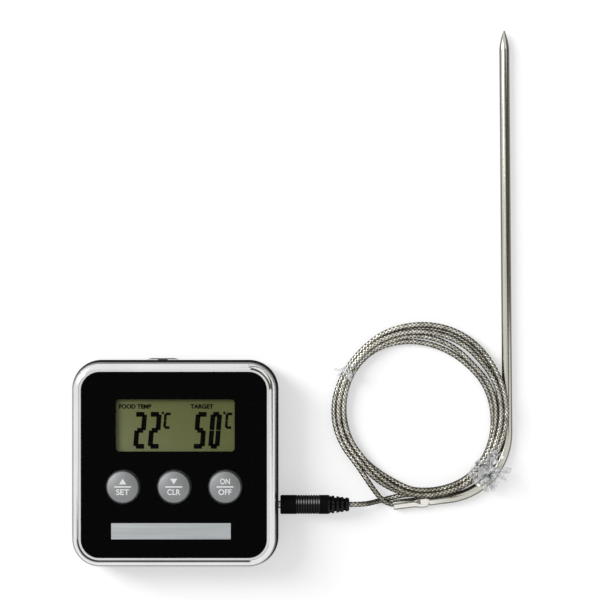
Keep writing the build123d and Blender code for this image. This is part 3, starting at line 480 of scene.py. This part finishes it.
# %% Brushed strip
strip = Finish("strip_metal", metallic=1.0)
brush = strip.noise(900, detail=4, stretch=(0.04, 1, 1))
strip.feed("Base Color", strip.ramp(brush, (0.3, "a5a9ab"), (0.7, "b9bdbe")))
strip.feed("Roughness", 0.3 + 0.18 * brush)
strip.bump(brush, 0.25, 0.00003)
dress(strip, "name_strip")

# %% [markdown]
# ## Keys and switch
# Three round keys are sprayed satin silver over plastic and the slide switch at the top is plain
# grey. A key's top bulges a little. The bulge is a bump too, a ball's curve about each key's
# middle, and one repeating pattern serves all three since they are evenly spaced.

# %% Satin silver keys
key_paint = Finish("key_plastic", metallic=0.85)
sparkle = key_paint.noise(5200, detail=2)
first_key, second_key = middle("button_up"), middle("button_down")
key_pitch = second_key[0] - first_key[0]
from_key_x = (key_paint.along("X") - (second_key[0] - 1.5 * key_pitch)) % key_pitch - 0.5 * key_pitch
from_key_y = key_paint.along("Y") - first_key[1]
KEY_CURVE = 0.025
crown = (from_key_x * from_key_x + from_key_y * from_key_y) * (-0.5 / KEY_CURVE)
key_paint.feed("Base Color", key_paint.ramp(sparkle, (0.3, "858788"), (0.75, "919394")))
key_paint.feed("Roughness", 0.34 + 0.12 * sparkle)
key_paint.bump(crown + 0.000015 * sparkle, 1.0, 1.0)
dress(key_paint, "button_up", "button_down", "button_start")

# %% Grey switch cap
cap = Finish("knob_plastic")
cap_grain = cap.noise(1500)
cap.feed("Base Color", cap.ramp(cap_grain, (0.3, "6d6d6e"), (0.75, "828283")))
cap.feed("Roughness", 0.42 + 0.16 * cap_grain)
cap.bump(cap_grain, 0.2, 0.00004)
dress(cap, "mode_switch_knob")

# %% [markdown]
# ## Probe and plug
# The probe is a polished steel tube with fine lengthwise drawing lines, which turn with the tube at
# its bend. Its tail end is painted a little lighter, a painted highlight that makes it mirror more
# brightly. The plug is soft black vinyl over a nickel-plated pin.
# Its grip has raised rings with a painted highlight in grey along the top of their crests, and its
# end faces shine.

# %% Polished steel
BEND_Y, TAIL_X = -0.008, 0.094
steel = Finish("probe_steel", metallic=1.0)
lines_along_y = steel.noise(1800, stretch=(1, 0.02, 1))
lines_along_x = steel.noise(1800, stretch=(0.02, 1, 1))
past_bend = steel.rise("Y", BEND_Y, 120.0)
drawn = lines_along_y * past_bend + lines_along_x * (1.0 - past_bend)
# painted highlight: the tail end's colour is lighter, so its reflections come out brighter
tone = drawn * 0.6 + steel.rise("X", TAIL_X, -120.0) * 0.35
steel.feed("Base Color", steel.ramp(tone, (0.15, "bbb8ad"), (0.45, "d3d1c7"), (0.7, "efede6")))
steel.feed("Roughness", 0.07 + 0.07 * drawn)
steel.bump(drawn, 0.08, 0.00003)
dress(steel, "probe_tube", "probe_tip")

# %% Black vinyl
vinyl = Finish("plug_vinyl", Specular_IOR_Level=0.05, Coat_Roughness=0.18)
skin = vinyl.noise(1300)
plug_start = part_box("plug_body")[0][0]
plug_y, plug_z = middle("plug_body")[1:]
across, above = vinyl.along("Y") - plug_y, vinyl.along("Z") - plug_z
GRIP_MIDDLE, GRIP_HALF = plug_start + 0.0094, 0.0040
# a crest is past this distance from the axis, squared, in square millimetres
CREST_SQUARED = 9.7
crest = (((across * across + above * above) * 1e6 - CREST_SQUARED) * 1.2).clamped()
on_grip = abs(vinyl.along("X") - GRIP_MIDDLE).math("LESS_THAN", GRIP_HALF)
# painted highlight: a grey band along the top of each ring's crest, where light would catch it, plus a
# faint mottle
LIT_Y = 0.0012
painted_highlight_band = (1.0 - abs(across - LIT_Y) * 900).at_least(0.12)
painted_highlight_and_mottle = painted_highlight_band * crest * on_grip + skin * 0.02
greys = ((0.0, "060607"), (0.02, "0b0b0c"), (0.16, "303031"), (1.0, "a0a0a1"))
vinyl.feed("Base Color", vinyl.ramp(painted_highlight_and_mottle, *greys))
facing = vinyl.add("ShaderNodeNewGeometry", output="Normal")
lengthways = abs(vinyl.add("ShaderNodeSeparateXYZ", inputs={"Vector": facing}, output="X"))
vinyl.feed("Roughness", 0.3 + 0.2 * skin)
vinyl.feed("Coat Weight", (lengthways * 2.2).at_most(1.0))
vinyl.bump(skin, 0.25, 0.00006)
dress(vinyl, "plug_body")

# %% Plated pin and contacts
pin_plate = Finish("contact_metal", metallic=1.0)
tarnish = pin_plate.noise(400)
pin_plate.feed("Base Color", pin_plate.ramp(tarnish, (0.3, "b8b3a6"), (0.75, "dedad0")))
pin_plate.feed("Roughness", 0.18 + 0.15 * tarnish)
dress(pin_plate, "plug_sleeve", "plug_tip", "battery_contact", "battery_spring", "socket_contacts")

# %% [markdown]
# ## Inside the case
# These pieces show only when the case is opened, and each still gets its own finish: green
# laminate, black resin, a jacketed cell, nickel magnets, zinc screws and soft rubber. Most are
# plain, so one function gives them two close tones, a roughness and a fine grain.


# %% Quiet finishes
def mottled(name, dark, light, roughness, per_metre=600, metallic=0.0, relief=0.00003, **constants):
    """A finish with one fine mottle in its colour, roughness and bump."""
    finish = Finish(name, metallic=metallic, **constants)
    pattern = finish.noise(per_metre)
    finish.feed("Base Color", finish.ramp(pattern, (0.3, dark), (0.75, light)))
    finish.feed("Roughness", (roughness - 0.06) + 0.12 * pattern)
    finish.bump(pattern, 0.2, relief)
    return finish


dress(mottled("lead_core", "8a867a", "b5b1a5", 0.45, metallic=1.0), "lead_end")
dress(mottled("frame_plastic", "c9c9c4", "dcdcd8", 0.5), "lcd_holder")
dress(mottled("contact_rubber", "3c3d3f", "4a4b4d", 0.75), "keypad")
dress(mottled("epoxy", "0c0c0c", "1a1a19", 0.35), "chip_blob")
dress(mottled("silicone", "bfb9ae", "cfcac0", 0.6, per_metre=3000), "zebra_strips")
dress(mottled("socket_plastic", "111112", "1c1c1d", 0.4), "jack_socket", "mode_switch_body", "buzzer")
dress(mottled("magnet_metal", "9fa1a3", "c4c6c7", 0.2, metallic=1.0), "magnet_left", "magnet_right")
screw_steel = mottled("screw_steel", "8f9194", "bfc1c3", 0.3, per_metre=1500, metallic=1.0)
dress(screw_steel, "case_screws", "board_screws")
dress(mottled("pin_liner", "0d0d0d", "161616", 0.3), "plug_insulator")
dress(mottled("sensor_glass", "7c2b12", "9c3f1f", 0.15), "thermistor")
dress(mottled("wire_jacket", "b9b39f", "cdc8b6", 0.55), "thermistor_wires")
dress(mottled("component_ceramic", "8d7b58", "a99770", 0.4, per_metre=300), "board_components")

# %% Green board with faint copper runs
laminate = Finish("board_laminate")
where = laminate.add("ShaderNodeTexCoord", output="Object")
inputs = {"Vector": where, "Scale": 300.0, "Mortar Size": 0.03}
runs = laminate.add("ShaderNodeTexBrick", {"offset": 0.37}, inputs, output="Fac")
laminate.feed("Base Color", laminate.blend(runs, "1c4a2a", "2f6b3c"))
laminate.feed("Roughness", 0.3 + 0.2 * laminate.noise(800))
laminate.bump(runs, 0.3, 0.00003)
dress(laminate, "circuit_board")

# %% Cell jacket with one plain band
cell_low, cell_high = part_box("battery")
jacket = Finish("cell_jacket")
along_cell = (jacket.along("X") - cell_low[0]) / (cell_high[0] - cell_low[0])
banded = jacket.ramp(along_cell, (0.03, "c9c9c6"), (0.035, "b06a2c"), (0.3, "b06a2c"), (0.305, "17181b"))
jacket.feed("Base Color", banded)
jacket.feed("Roughness", 0.25 + 0.2 * jacket.noise(500))
dress(jacket, "battery")

# %% [markdown]
# ## Display segments
# Each digit is up to seven flat bars with tapered ends, with a thin gap where bars meet. A bar is
# a short line with four points: the middle two carry the full width and the outer two none. One
# geometry tree turns every such line into a flat ribbon, so a digit is only a list of lines. Text
# would be quicker, but no typeface has a display's gaps and slanted ends.

# %% Ribbon tree
ribbon = Maker("flat_ribbons", Width=1.25 * MM)
lines = ribbon.add("GeometryNodeMeshToCurve", inputs={"Mesh": ribbon.size("Geometry")})
level = ribbon.add("GeometryNodeSetCurveNormal", {"mode": "Z_UP"}, {"Curve": lines})
full = ribbon.add("GeometryNodeInputNamedAttribute", {"data_type": "FLOAT"}, {"Name": "fullness"})
tapered = ribbon.add("GeometryNodeSetCurveRadius", inputs={"Curve": level, "Radius": full})
half_width = ribbon.size("Width") * 0.5
tips = [ribbon.add("ShaderNodeCombineXYZ", inputs={"X": end}) for end in (half_width * -1.0, half_width)]
edge_line = ribbon.add("GeometryNodeCurvePrimitiveLine", inputs={"Start": tips[0], "End": tips[1]})
swept = ribbon.add("GeometryNodeCurveToMesh", inputs={"Curve": tapered, "Profile Curve": edge_line})
ribbon.finish_with(swept)
print("ribbon tree has", len(ribbon.tree.nodes), "nodes")

# %% Digits as lines
SEGMENTS = {"2": "abged", "5": "afgcd", "0": "abcdef", "C": "adef"}
PLACES = {
    "a": ((0, 1), (1, 1)), "b": ((1, 1), (1, 0.5)), "c": ((1, 0.5), (1, 0)), "d": ((0, 0), (1, 0)),
    "e": ((0, 0.5), (0, 0)), "f": ((0, 1), (0, 0.5)), "g": ((0, 0.5), (1, 0.5)),
}
BESIDE = {"a": "fb", "d": "ec"}
# shares of a bar's stroke: its taper, the gap at its end, and how far a free end runs on
TAPER, GAP, RUN_ON = 0.45, 0.05, 0.45
FULLNESS = [0.001, 1.0, 1.0, 0.001]
slant = math.tan(math.radians(4.5))
display_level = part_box("lcd_glass")[1][2] + 0.03 * MM


def bar_points(start, end, gap, taper):
    """Four points along a line, in from its ends by a gap, with a taper at each end."""
    start, end = np.array(start), np.array(end)
    step = (end - start) / np.linalg.norm(end - start)
    ways_in = (gap * step, (gap + taper) * step)
    return [start + ways_in[0], start + ways_in[1], end - ways_in[1], end - ways_in[0]]


def digit_lines(sign, left, foot, width, height, stroke):
    """The bars of one sign, leaning to the right, as lists of four points in millimetres."""
    result = []
    for name in SEGMENTS[sign]:
        # a level bar runs on where no upright bar meets its end
        free = [side not in SEGMENTS[sign] for side in BESIDE.get(name, "")] or [False, False]
        tips = [
            (left + x * width + y * height * slant + push * RUN_ON * stroke, foot + y * height)
            for (x, y), push in zip(PLACES[name], (-free[0], free[1]))
        ]
        result.append(bar_points(*tips, gap=GAP * stroke, taper=TAPER * stroke))
    return result


def ribbon_piece(name, bars, stroke, finish, level, body):
    """One flat mesh from many bars, riding on a body."""
    points = [(x * MM, y * MM, level) for bar in bars for x, y in bar]
    edges = [(4 * n + k, 4 * n + k + 1) for n in range(len(bars)) for k in range(3)]
    host = mesh_object(name, points, edges=edges)
    fullness = host.data.attributes.new("fullness", "FLOAT", "POINT")
    fullness.data.foreach_set("value", FULLNESS * len(bars))
    ribbon.sizes["Width"] = stroke * MM
    piece = ribbon.run(host, finish)
    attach(piece, body)
    return piece


# %% The shown numbers and units
segment_ink = mottled("segment_ink", "020302", "050604", 0.5, per_metre=900, Specular_IOR_Level=0.02)
NUMBER_STROKE, UNIT_STROKE = 1.62, 0.88
number_bars = []
for sign, left in (("2", -12.98), ("2", -8.08), ("5", 7.22), ("0", 12.22)):
    number_bars += digit_lines(sign, left, foot=6.1, width=2.2, height=10.75, stroke=NUMBER_STROKE)
numbers = ribbon_piece("display_numbers", number_bars, NUMBER_STROKE, segment_ink, display_level, "housing")
unit_bars = []
for left in (-3.25, 17.45):
    unit_bars += digit_lines("C", left, foot=12.4, width=1.35, height=4.6, stroke=UNIT_STROKE)
    unit_bars.append(bar_points((left - 0.9, 17.15), (left - 0.25, 17.45), gap=0.0, taper=0.12))
units = ribbon_piece("display_units", unit_bars, UNIT_STROKE, segment_ink, display_level, "housing")

# %% [markdown]
# ## Plain captions and key legends
# The captions and legends are printed, so they are flat shapes a hair above the surface. Letters
# start as text, are made a mesh, and are then fitted to the size they have on the piece. Only
# plain words and signs are used.


# %% Flat print
def letters(text, centre, size, weight=0.02):
    """Vertices and faces of a word, fitted to a width and height in millimetres."""
    data = bpy.data.curves.new("word", "FONT")
    data.body = text
    data.offset = weight
    holder = add_object("word", data)
    mesh = plain_copy(holder)
    bpy.data.objects.remove(holder)
    flat = np.array([vertex.co[:2] for vertex in mesh.vertices])
    low, high = flat.min(axis=0), flat.max(axis=0)
    flat = (flat - (low + high) / 2) / (high - low) * np.array(size) + np.array(centre)
    return flat, [tuple(face.vertices) for face in mesh.polygons]


def flat_shape(centre, points):
    """One face, from points about a centre."""
    return np.array(points) + np.array(centre), [tuple(range(len(points)))]


def printed(name, shapes, level, finish, body):
    """One flat mesh from several shapes."""
    vertices, faces = [], []
    for flat, cells in shapes:
        faces += [tuple(len(vertices) + corner for corner in cell) for cell in cells]
        vertices += [(x * MM, y * MM, level) for x, y in flat]
    piece = mesh_object(name, vertices, faces)
    dress(finish, piece)
    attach(piece, body)


# %% Captions on the display
CAPTION_Y, CAPTION_HEIGHT, CAPTION_WEIGHT = 19.5, 1.55, 0.045
captions = [
    letters(word, (x, CAPTION_Y), (width, CAPTION_HEIGHT), CAPTION_WEIGHT)
    for word, x, width in (("FOOD TEMP", -13.1, 10.9), ("TARGET", 9.3, 7.8))
]
printed("display_captions", captions, display_level, segment_ink, "housing")

# %% Legends on the keys
legend_white = mottled("legend_white", "f6f6f6", "ffffff", 0.5, per_metre=900)
LEGENDS = {
    "button_up": ("key_up", "SET"),
    "button_down": ("key_down", "CLR"),
    "button_start": ("key_start", "OFF"),
}
ARROWS = {
    "key_up": [(-1.2, 0.95), (1.2, 0.95), (0.0, 2.85)],
    "key_down": [(-1.2, 2.85), (0.0, 0.95), (1.2, 2.85)],
}
RULE = [(-2.85, -0.12), (2.85, -0.12), (2.85, 0.33), (-2.85, 0.33)]
WORD_Y, SIGN_Y, LETTER_HEIGHT = -1.65, 1.95, 1.95
for node, (body, word) in LEGENDS.items():
    x, y = (place / MM for place in middle(node)[:2])
    shapes = [letters(word, (x, y + WORD_Y), (4.4, LETTER_HEIGHT)), flat_shape((x, y), RULE)]
    if body in ARROWS:
        shapes.append(flat_shape((x, y), ARROWS[body]))
    else:
        shapes.append(letters("ON", (x, y + SIGN_Y), (3.3, LETTER_HEIGHT)))
    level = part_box(node)[1][2] + 0.01 * MM
    printed(body + "_legend", shapes, level, legend_white, body)

# %% [markdown]
# ## The lead
# The lead is one cord from the plug to the probe, nearly 0.9 m long, with most of it in five loose
# turns. It is one smooth spline. Its points at each end are the same as those of the solid, and a
# loop adds the turns: five strands lie side by side and on each other, and a table says how far
# out and how high each one lies at a few bearings. A plain helix would be shorter to write, but
# real strands cross and fan out where nothing ties them.

# %% Route of the turns
turn_centre = (83.2, 17.7)
# at each bearing: how far out the five strands lie, then how high, in millimetres
STRANDS = {
    -95: ((29.0, 27.4, 27.4, 28.9, 29.0), (1.4, 2.2, 4.0, 4.9, 3.15)),
    -67: ((29.9, 28.3, 28.35, 29.6, 30.0), (1.35, 1.9, 3.75, 4.9, 3.15)),
    -48: ((30.2, 28.5, 28.5, 29.6, 30.3), (1.35, 1.7, 3.5, 4.9, 3.15)),
    -30: ((29.0, 27.2, 27.4, 28.6, 30.1), (1.35, 1.4, 3.2, 4.6, 3.6)),
    -16: ((28.3, 26.3, 26.7, 28.0, 29.8), (1.35, 1.35, 3.1, 4.6, 4.75)),
    0: ((27.5, 25.0, 26.3, 28.0, 29.8), (1.4, 1.4, 3.0, 4.3, 4.7)),
    17: ((27.9, 24.2, 25.6, 27.6, 29.3), (1.4, 1.6, 2.9, 3.9, 4.4)),
    40: ((28.1, 22.6, 23.8, 26.7, 29.4), (1.4, 1.4, 2.9, 2.6, 2.9)),
    61: ((28.3, 22.1, 24.3, 26.9, 29.7), (1.4, 1.4, 2.3, 2.6, 2.8)),
    79: ((28.0, 22.6, 24.9, 26.7, 29.4), (1.4, 1.4, 1.7, 2.7, 2.8)),
    96: ((27.7, 23.4, 25.6, 26.8, 29.0), (1.4, 1.4, 1.5, 3.0, 2.8)),
    117: ((27.3, 24.8, 25.5, 27.2, 28.8), (1.4, 1.4, 3.1, 3.6, 2.6)),
    133: ((27.6, 25.8, 26.1, 27.3, 28.2), (1.35, 1.5, 3.3, 4.75, 3.05)),
    152.7: ((27.9, 26.1, 26.3, 27.4, 28.4), (1.35, 1.6, 3.35, 4.75, 3.1)),
    167: ((27.7, 25.9, 25.9, 27.6, 29.0), (1.35, 1.6, 3.4, 4.0, 2.6)),
    183: ((27.8, 25.8, 26.1, 28.0, 29.5), (1.35, 1.5, 3.35, 3.4, 1.9)),
    203: ((27.5, 25.7, 25.8, 27.6, 29.0), (1.35, 1.5, 3.35, 3.6, 2.4)),
    221: ((27.3, 25.5, 25.2, 26.75, 28.3), (1.35, 1.5, 3.3, 4.25, 3.2)),
    243: ((27.6, 25.3, 26.7, 28.3, 28.3), (1.35, 1.9, 4.2, 3.1, 3.2)),
    255: ((27.4, 26.3, 27.9, 28.8, 28.3), (1.6, 3.1, 4.7, 3.0, 3.2)),
    265: ((27.4, 27.4, 28.9, 29.0, 28.3), (2.2, 4.0, 4.9, 3.15, 3.2)),
}
bearings = list(STRANDS)
radii = list(zip(*(out for out, _ in STRANDS.values())))
heights = list(zip(*(up for _, up in STRANDS.values())))
steps_per_turn = 24
spacing = 360 / steps_per_turn
FIRST_ANGLE, LAST_BEARING = -80, 214
# a smooth line lies a little inside its points, so they stand out by as much
pull_in = 1 - math.radians(spacing) ** 2 / 8
turn_points = []
for angle in np.arange(FIRST_ANGLE, (len(radii) - 1) * 360 + LAST_BEARING, spacing):
    turn = int((angle - bearings[0]) // 360)
    bearing = angle - 360 * turn
    radius = np.interp(bearing, bearings, radii[turn]) / pull_in
    x = turn_centre[0] + radius * math.cos(math.radians(bearing))
    y = turn_centre[1] + radius * math.sin(math.radians(bearing))
    turn_points.append((x * MM, y * MM, float(np.interp(bearing, bearings, heights[turn])) * MM))
print(len(turn_points), "points make the turns, the last at bearing", round(bearing))

# %% One spline from plug to probe
plug_end = [
    (0.0591, -0.0144, 0.0063), (0.0618, -0.0144, 0.0063), (0.06475, -0.01435, 0.00505),
    (0.06697, -0.01415, 0.0028), (0.0699, -0.0135, 0.0014), (0.0733, -0.0127, 0.00135),
    (0.0768, -0.0117, 0.00145), (0.0802, -0.01135, 0.0015), (0.0842, -0.0114, 0.0014),
]
probe_end = [
    (0.0614, -0.0006, 0.0032), (0.0640, -0.0044, 0.0036), (0.0667, -0.0084, 0.0039),
    (0.0696, -0.0123, 0.004), (0.0716, -0.0139, 0.0035), (0.0738, -0.01475, 0.0025),
    (0.0762, -0.01475, 0.0021),
]
route = plug_end + turn_points[1:] + probe_end
line_data = bpy.data.curves.new("lead_line", "CURVE")
line_data.dimensions = "3D"
spline = line_data.splines.new("NURBS")
spline.points.add(len(route) - 1)
for point, place in zip(spline.points, route):
    point.co = (*place, 1.0)
spline.order_u = 3
spline.use_endpoint_u = True
spline.resolution_u = 10
lead_line = add_object("lead_line", line_data)
line_mesh = plain_copy(lead_line)

# %% [markdown]
# ## The braid
# The lead's jacket is a tight braid of fine steel wire. Bundles of wire wind round it both ways
# and pass over and under each other. Modelling every wire would take millions of faces. Instead one
# function writes the weave with Math nodes, and both the geometry tree, which lifts the bundles,
# and the finish, which shades them, are built from it. The finish paints light and shade: each
# bundle darker towards its edges, every strand lighter on top than on its flanks, the strands
# towards -Y darker and those beside the unit lighter.


# %% Weave: two families of bundles
BUNDLES = 4.0
LAY_LENGTH = 5.6 * MM


def weave(read):
    """How far a point is from the edge of the bundle on top (0 to 1), and its place across it.

    read() finds a number that is stored on each point, by its name.
    """
    along, side_x, side_y = (read(name) for name in ("along", "side_x", "side_y"))
    turns = side_y.math("ARCTAN2", side_x) * (BUNDLES / (2 * math.pi))
    right_hand = turns + along * (BUNDLES / LAY_LENGTH)
    left_hand = turns - along * (BUNDLES / LAY_LENGTH)
    over = (right_hand.math("FLOOR") + left_hand.math("FLOOR")) % 2.0
    across = over * (right_hand % 1.0) + (1.0 - over) * (left_hand % 1.0)
    return 1.0 - (abs(across - 0.5) * 2.0) ** 2.0, across


# %% Braid tree
braid_sizes = {"Diameter": 1.86 * MM, "Around": 20, "Spacing": 0.26 * MM, "Relief": 0.2 * MM}
braid = Maker("braided_jacket", Route=lead_line, **braid_sizes)
inputs = {"Object": braid.size("Route")}
line = braid.add("GeometryNodeObjectInfo", {"transform_space": "ORIGINAL"}, inputs, "Geometry")
inputs = {"Curve": line, "Length": braid.size("Spacing")}
even = braid.add("GeometryNodeResampleCurve", {"mode": "LENGTH"}, inputs)
core_radius = braid.size("Diameter") * 0.5 - braid.size("Relief")
inputs = {"Resolution": braid.size("Around"), "Radius": core_radius}
section = braid.add("GeometryNodeCurvePrimitiveCircle", inputs=inputs)


def stored(geometry, name, value):
    """The geometry with one more number kept on each of its points."""
    inputs = {"Geometry": geometry, "Name": name, "Value": value}
    return braid.add("GeometryNodeStoreNamedAttribute", {"data_type": "FLOAT"}, inputs)


kept = stored(even, "along", braid.add("GeometryNodeSplineParameter", output="Length"))
turned = braid.add("GeometryNodeSplineParameter", output="Factor") * (2 * math.pi)
section = stored(section, "side_x", turned.math("COSINE"))
section = stored(section, "side_y", turned.math("SINE"))
inputs = {"Curve": kept, "Profile Curve": section, "Fill Caps": True}
tube = braid.add("GeometryNodeCurveToMesh", inputs=inputs)
bulge, _ = weave(
    lambda name: braid.add("GeometryNodeInputNamedAttribute", {"data_type": "FLOAT"}, {"Name": name})
)
inputs = {"Vector": braid.add("GeometryNodeInputNormal"), "Scale": bulge * braid.size("Relief")}
lift = braid.add("ShaderNodeVectorMath", {"operation": "SCALE"}, inputs)
braid.finish_with(braid.add("GeometryNodeSetPosition", inputs={"Geometry": tube, "Offset": lift}))
print("braid tree has", len(braid.tree.nodes), "nodes")

# %% Braided wire finish
WIRES_IN_A_BUNDLE = 3
PAINTED_SHADE_Y, PAINTED_LIGHT_X = 0.004, 0.068
wire = Finish("braided_lead", metallic=1.0)
bundle, across = weave(
    lambda name: wire.add("ShaderNodeAttribute", {"attribute_name": name}, output="Fac")
)
strands = 0.5 + 0.5 * (across * (2 * math.pi * WIRES_IN_A_BUNDLE)).math("SINE")
uneven = wire.noise(380)
facing = wire.add("ShaderNodeNewGeometry", output="Normal")
upward = wire.add("ShaderNodeSeparateXYZ", inputs={"Vector": facing}, output="Z")
# painted light and shade: strands lighter on top than on their flanks, lighter beside the unit (low X) and
# darker towards -Y
painted_top_light = 0.42 + 0.58 * upward.at_least(0.0)
painted_side_light_and_shade = 1.0 + 0.22 * wire.rise("X", PAINTED_LIGHT_X, -60.0) - 0.3 * wire.rise("Y", PAINTED_SHADE_Y, -80.0)
# painted shade: brightness falls to nothing at each bundle's edges, in the gaps between bundles
brightness = painted_top_light * bundle * painted_side_light_and_shade * (0.65 + 0.3 * strands) * (0.35 + 1.2 * uneven)
wire.feed("Base Color", wire.ramp(brightness, (0.06, "1c1a16"), (0.36, "837f72"), (0.8, "efece2")))
wire.feed("Roughness", 0.45 - 0.16 * bundle)
wire.bump(bundle + 0.2 * strands, 0.7, 0.00012)
print("wire finish has", len(wire.tree.nodes), "nodes")

# %% The lead itself
lead_host = mesh_object("braided_lead", [(0, 0, 0)])
lead = smooth(braid.run(lead_host, wire))
bpy.data.objects.remove(lead_line)
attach(lead, "probe_lead")
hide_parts("lead_from_plug", "lead_coil", "lead_to_probe")

# %% [markdown]
# ## Film ties
# Two short lengths of clear packing film hold the coil: one round the turns alone, the other
# round the turns and the probe. Film wraps tight, crumples and ends in a twisted neck whose loose
# ends splay out. At this size a wavy band and a burst of flaps, all crumpled by one noise, stand
# for a cloth simulation, which would be slow and differ from run to run.


# %% Film finish
film = Finish("tie_film")
creases_and_painted_light = film.noise(650, detail=4)
# painted light and shade: the clear film's colour runs from dark grey in its folds to white where it would
# catch the light
film.feed("Base Color", film.ramp(creases_and_painted_light, (0.36, "4a4c4e"), (0.44, "d4d7d8"), (0.6, "ffffff")))
film.feed("Roughness", 0.08 + 0.25 * creases_and_painted_light)
film.feed("Alpha", film.ramp(creases_and_painted_light, (0.36, "808080"), (0.44, "505050"), (0.56, "f0f0f0")))
film.bump(creases_and_painted_light, 0.8, 0.0005)
print("film finish has", len(film.tree.nodes), "nodes")


# %% Loose ends of film
end_sizes = {"Length": 6.0 * MM, "Width": 1.2 * MM, "Crumple": 1.1 * MM}
ends = Maker("film_ends", Knot=Vector((0, 0, 0)), Count=12, **end_sizes, Seed=3)
LEAST_TILT, MOST_TILT = (-1.2, -0.35, 0.0), (1.2, 0.12, 6.28)
LEAST_GROWTH, MOST_GROWTH = 0.45, 1.15
inputs = {"Size X": ends.size("Length"), "Size Y": ends.size("Width"), "Vertices X": 12, "Vertices Y": 4}
flap = ends.add("GeometryNodeMeshGrid", inputs=inputs, output="Mesh")
shift = ends.add("ShaderNodeCombineXYZ", inputs={"X": ends.size("Length") * 0.45})
flap = ends.add("GeometryNodeTransform", inputs={"Geometry": flap, "Translation": shift})
inputs = {"Count": ends.size("Count"), "Position": ends.size("Knot")}
places = ends.add("GeometryNodePoints", inputs=inputs)
inputs = {0: LEAST_TILT, 1: MOST_TILT, "Seed": ends.size("Seed")}
tilt = ends.add("FunctionNodeRandomValue", {"data_type": "FLOAT_VECTOR"}, inputs)
inputs = {2: LEAST_GROWTH, 3: MOST_GROWTH, "Seed": ends.size("Seed")}
growth = ends.add("FunctionNodeRandomValue", {"data_type": "FLOAT"}, inputs, output=1)
inputs = {"Points": places, "Instance": flap, "Rotation": tilt, "Scale": growth}
splayed = ends.add("GeometryNodeInstanceOnPoints", inputs=inputs)
loose = ends.add("GeometryNodeRealizeInstances", inputs={"Geometry": splayed})
both = ends.add("GeometryNodeJoinGeometry", inputs={"Geometry": [loose, ends.size("Geometry")]})
inputs = {"Scale": 420.0, "Detail": 3.0, "Vector": ends.add("GeometryNodeInputPosition")}
folds = ends.add("ShaderNodeTexNoise", inputs=inputs, output="Color")
centred = ends.add("ShaderNodeVectorMath", {"operation": "SUBTRACT"}, {0: folds, 1: (0.5, 0.5, 0.5)})
inputs = {"Vector": centred, "Scale": ends.size("Crumple")}
crumple = ends.add("ShaderNodeVectorMath", {"operation": "SCALE"}, inputs)
ends.finish_with(ends.add("GeometryNodeSetPosition", inputs={"Geometry": both, "Offset": crumple}))
print("film tree has", len(ends.tree.nodes), "nodes")

# %% One band of film
BAND_WIDTH, WAVINESS = 3.4, 0.25
STEPS_ROUND, ROWS = 48, 9


def squared(limits, swing, power):
    """A number that swings between two limits and stays near them, so that a loop is nearly square."""
    return sum(limits) / 2 + (limits[1] - limits[0]) / 2 * math.copysign(abs(swing) ** power, swing)


def band(bearing, reach, span):
    """Points and faces of a wavy band round the strands, in millimetres, at one bearing."""
    outward = np.array([math.cos(math.radians(bearing)), math.sin(math.radians(bearing)), 0.0])
    sideways = np.array([-outward[1], outward[0], 0.0])
    centre = np.array([*turn_centre, 0.0])
    points, faces = [], []
    for row in range(ROWS):
        for step in range(STEPS_ROUND):
            turn = 2 * math.pi * step / STEPS_ROUND
            radial = squared(reach, math.cos(turn), 0.5)
            height = squared(span, math.sin(turn), 0.6)
            waves = 1 + WAVINESS * math.sin(3 * turn + row)
            aside = (row / (ROWS - 1) - 0.5) * BAND_WIDTH * waves
            points.append(centre + outward * radial + sideways * aside + np.array([0, 0, height]))
    for low in range(0, (ROWS - 1) * STEPS_ROUND, STEPS_ROUND):
        for step in range(STEPS_ROUND):
            after, high = (step + 1) % STEPS_ROUND, low + STEPS_ROUND
            faces.append((low + step, low + after, high + after, high + step))
    return points, faces


# %% The two ties
def film_tie(name, replaced, loop, knot, count, length, width, seed):
    """A band round the strands, and a knot of loose ends."""
    points, faces = band(*loop)
    host = mesh_object(name, [point * MM for point in points], faces)
    ends.sizes.update(Knot=Vector(knot) * MM, Count=count, Length=length * MM, Width=width * MM, Seed=seed)
    tie = smooth(ends.run(host, film))
    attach(tie, "probe_lead")
    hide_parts(replaced)
    return tie


lower_loop = (-41.5, (26.3, 35.4), (0.7, 6.0))
upper_loop = (152.7, (25.2, 29.6), (0.7, 6.0))
lower_tie = film_tie("film_tie_lower", "tie_lower", lower_loop, (106.7, -2.4, 6.4), 38, 7.0, 2.3, seed=3)
upper_tie = film_tie("film_tie_upper", "tie_upper", upper_loop, (57.4, 31.8, 5.6), 11, 3.9, 1.0, seed=5)
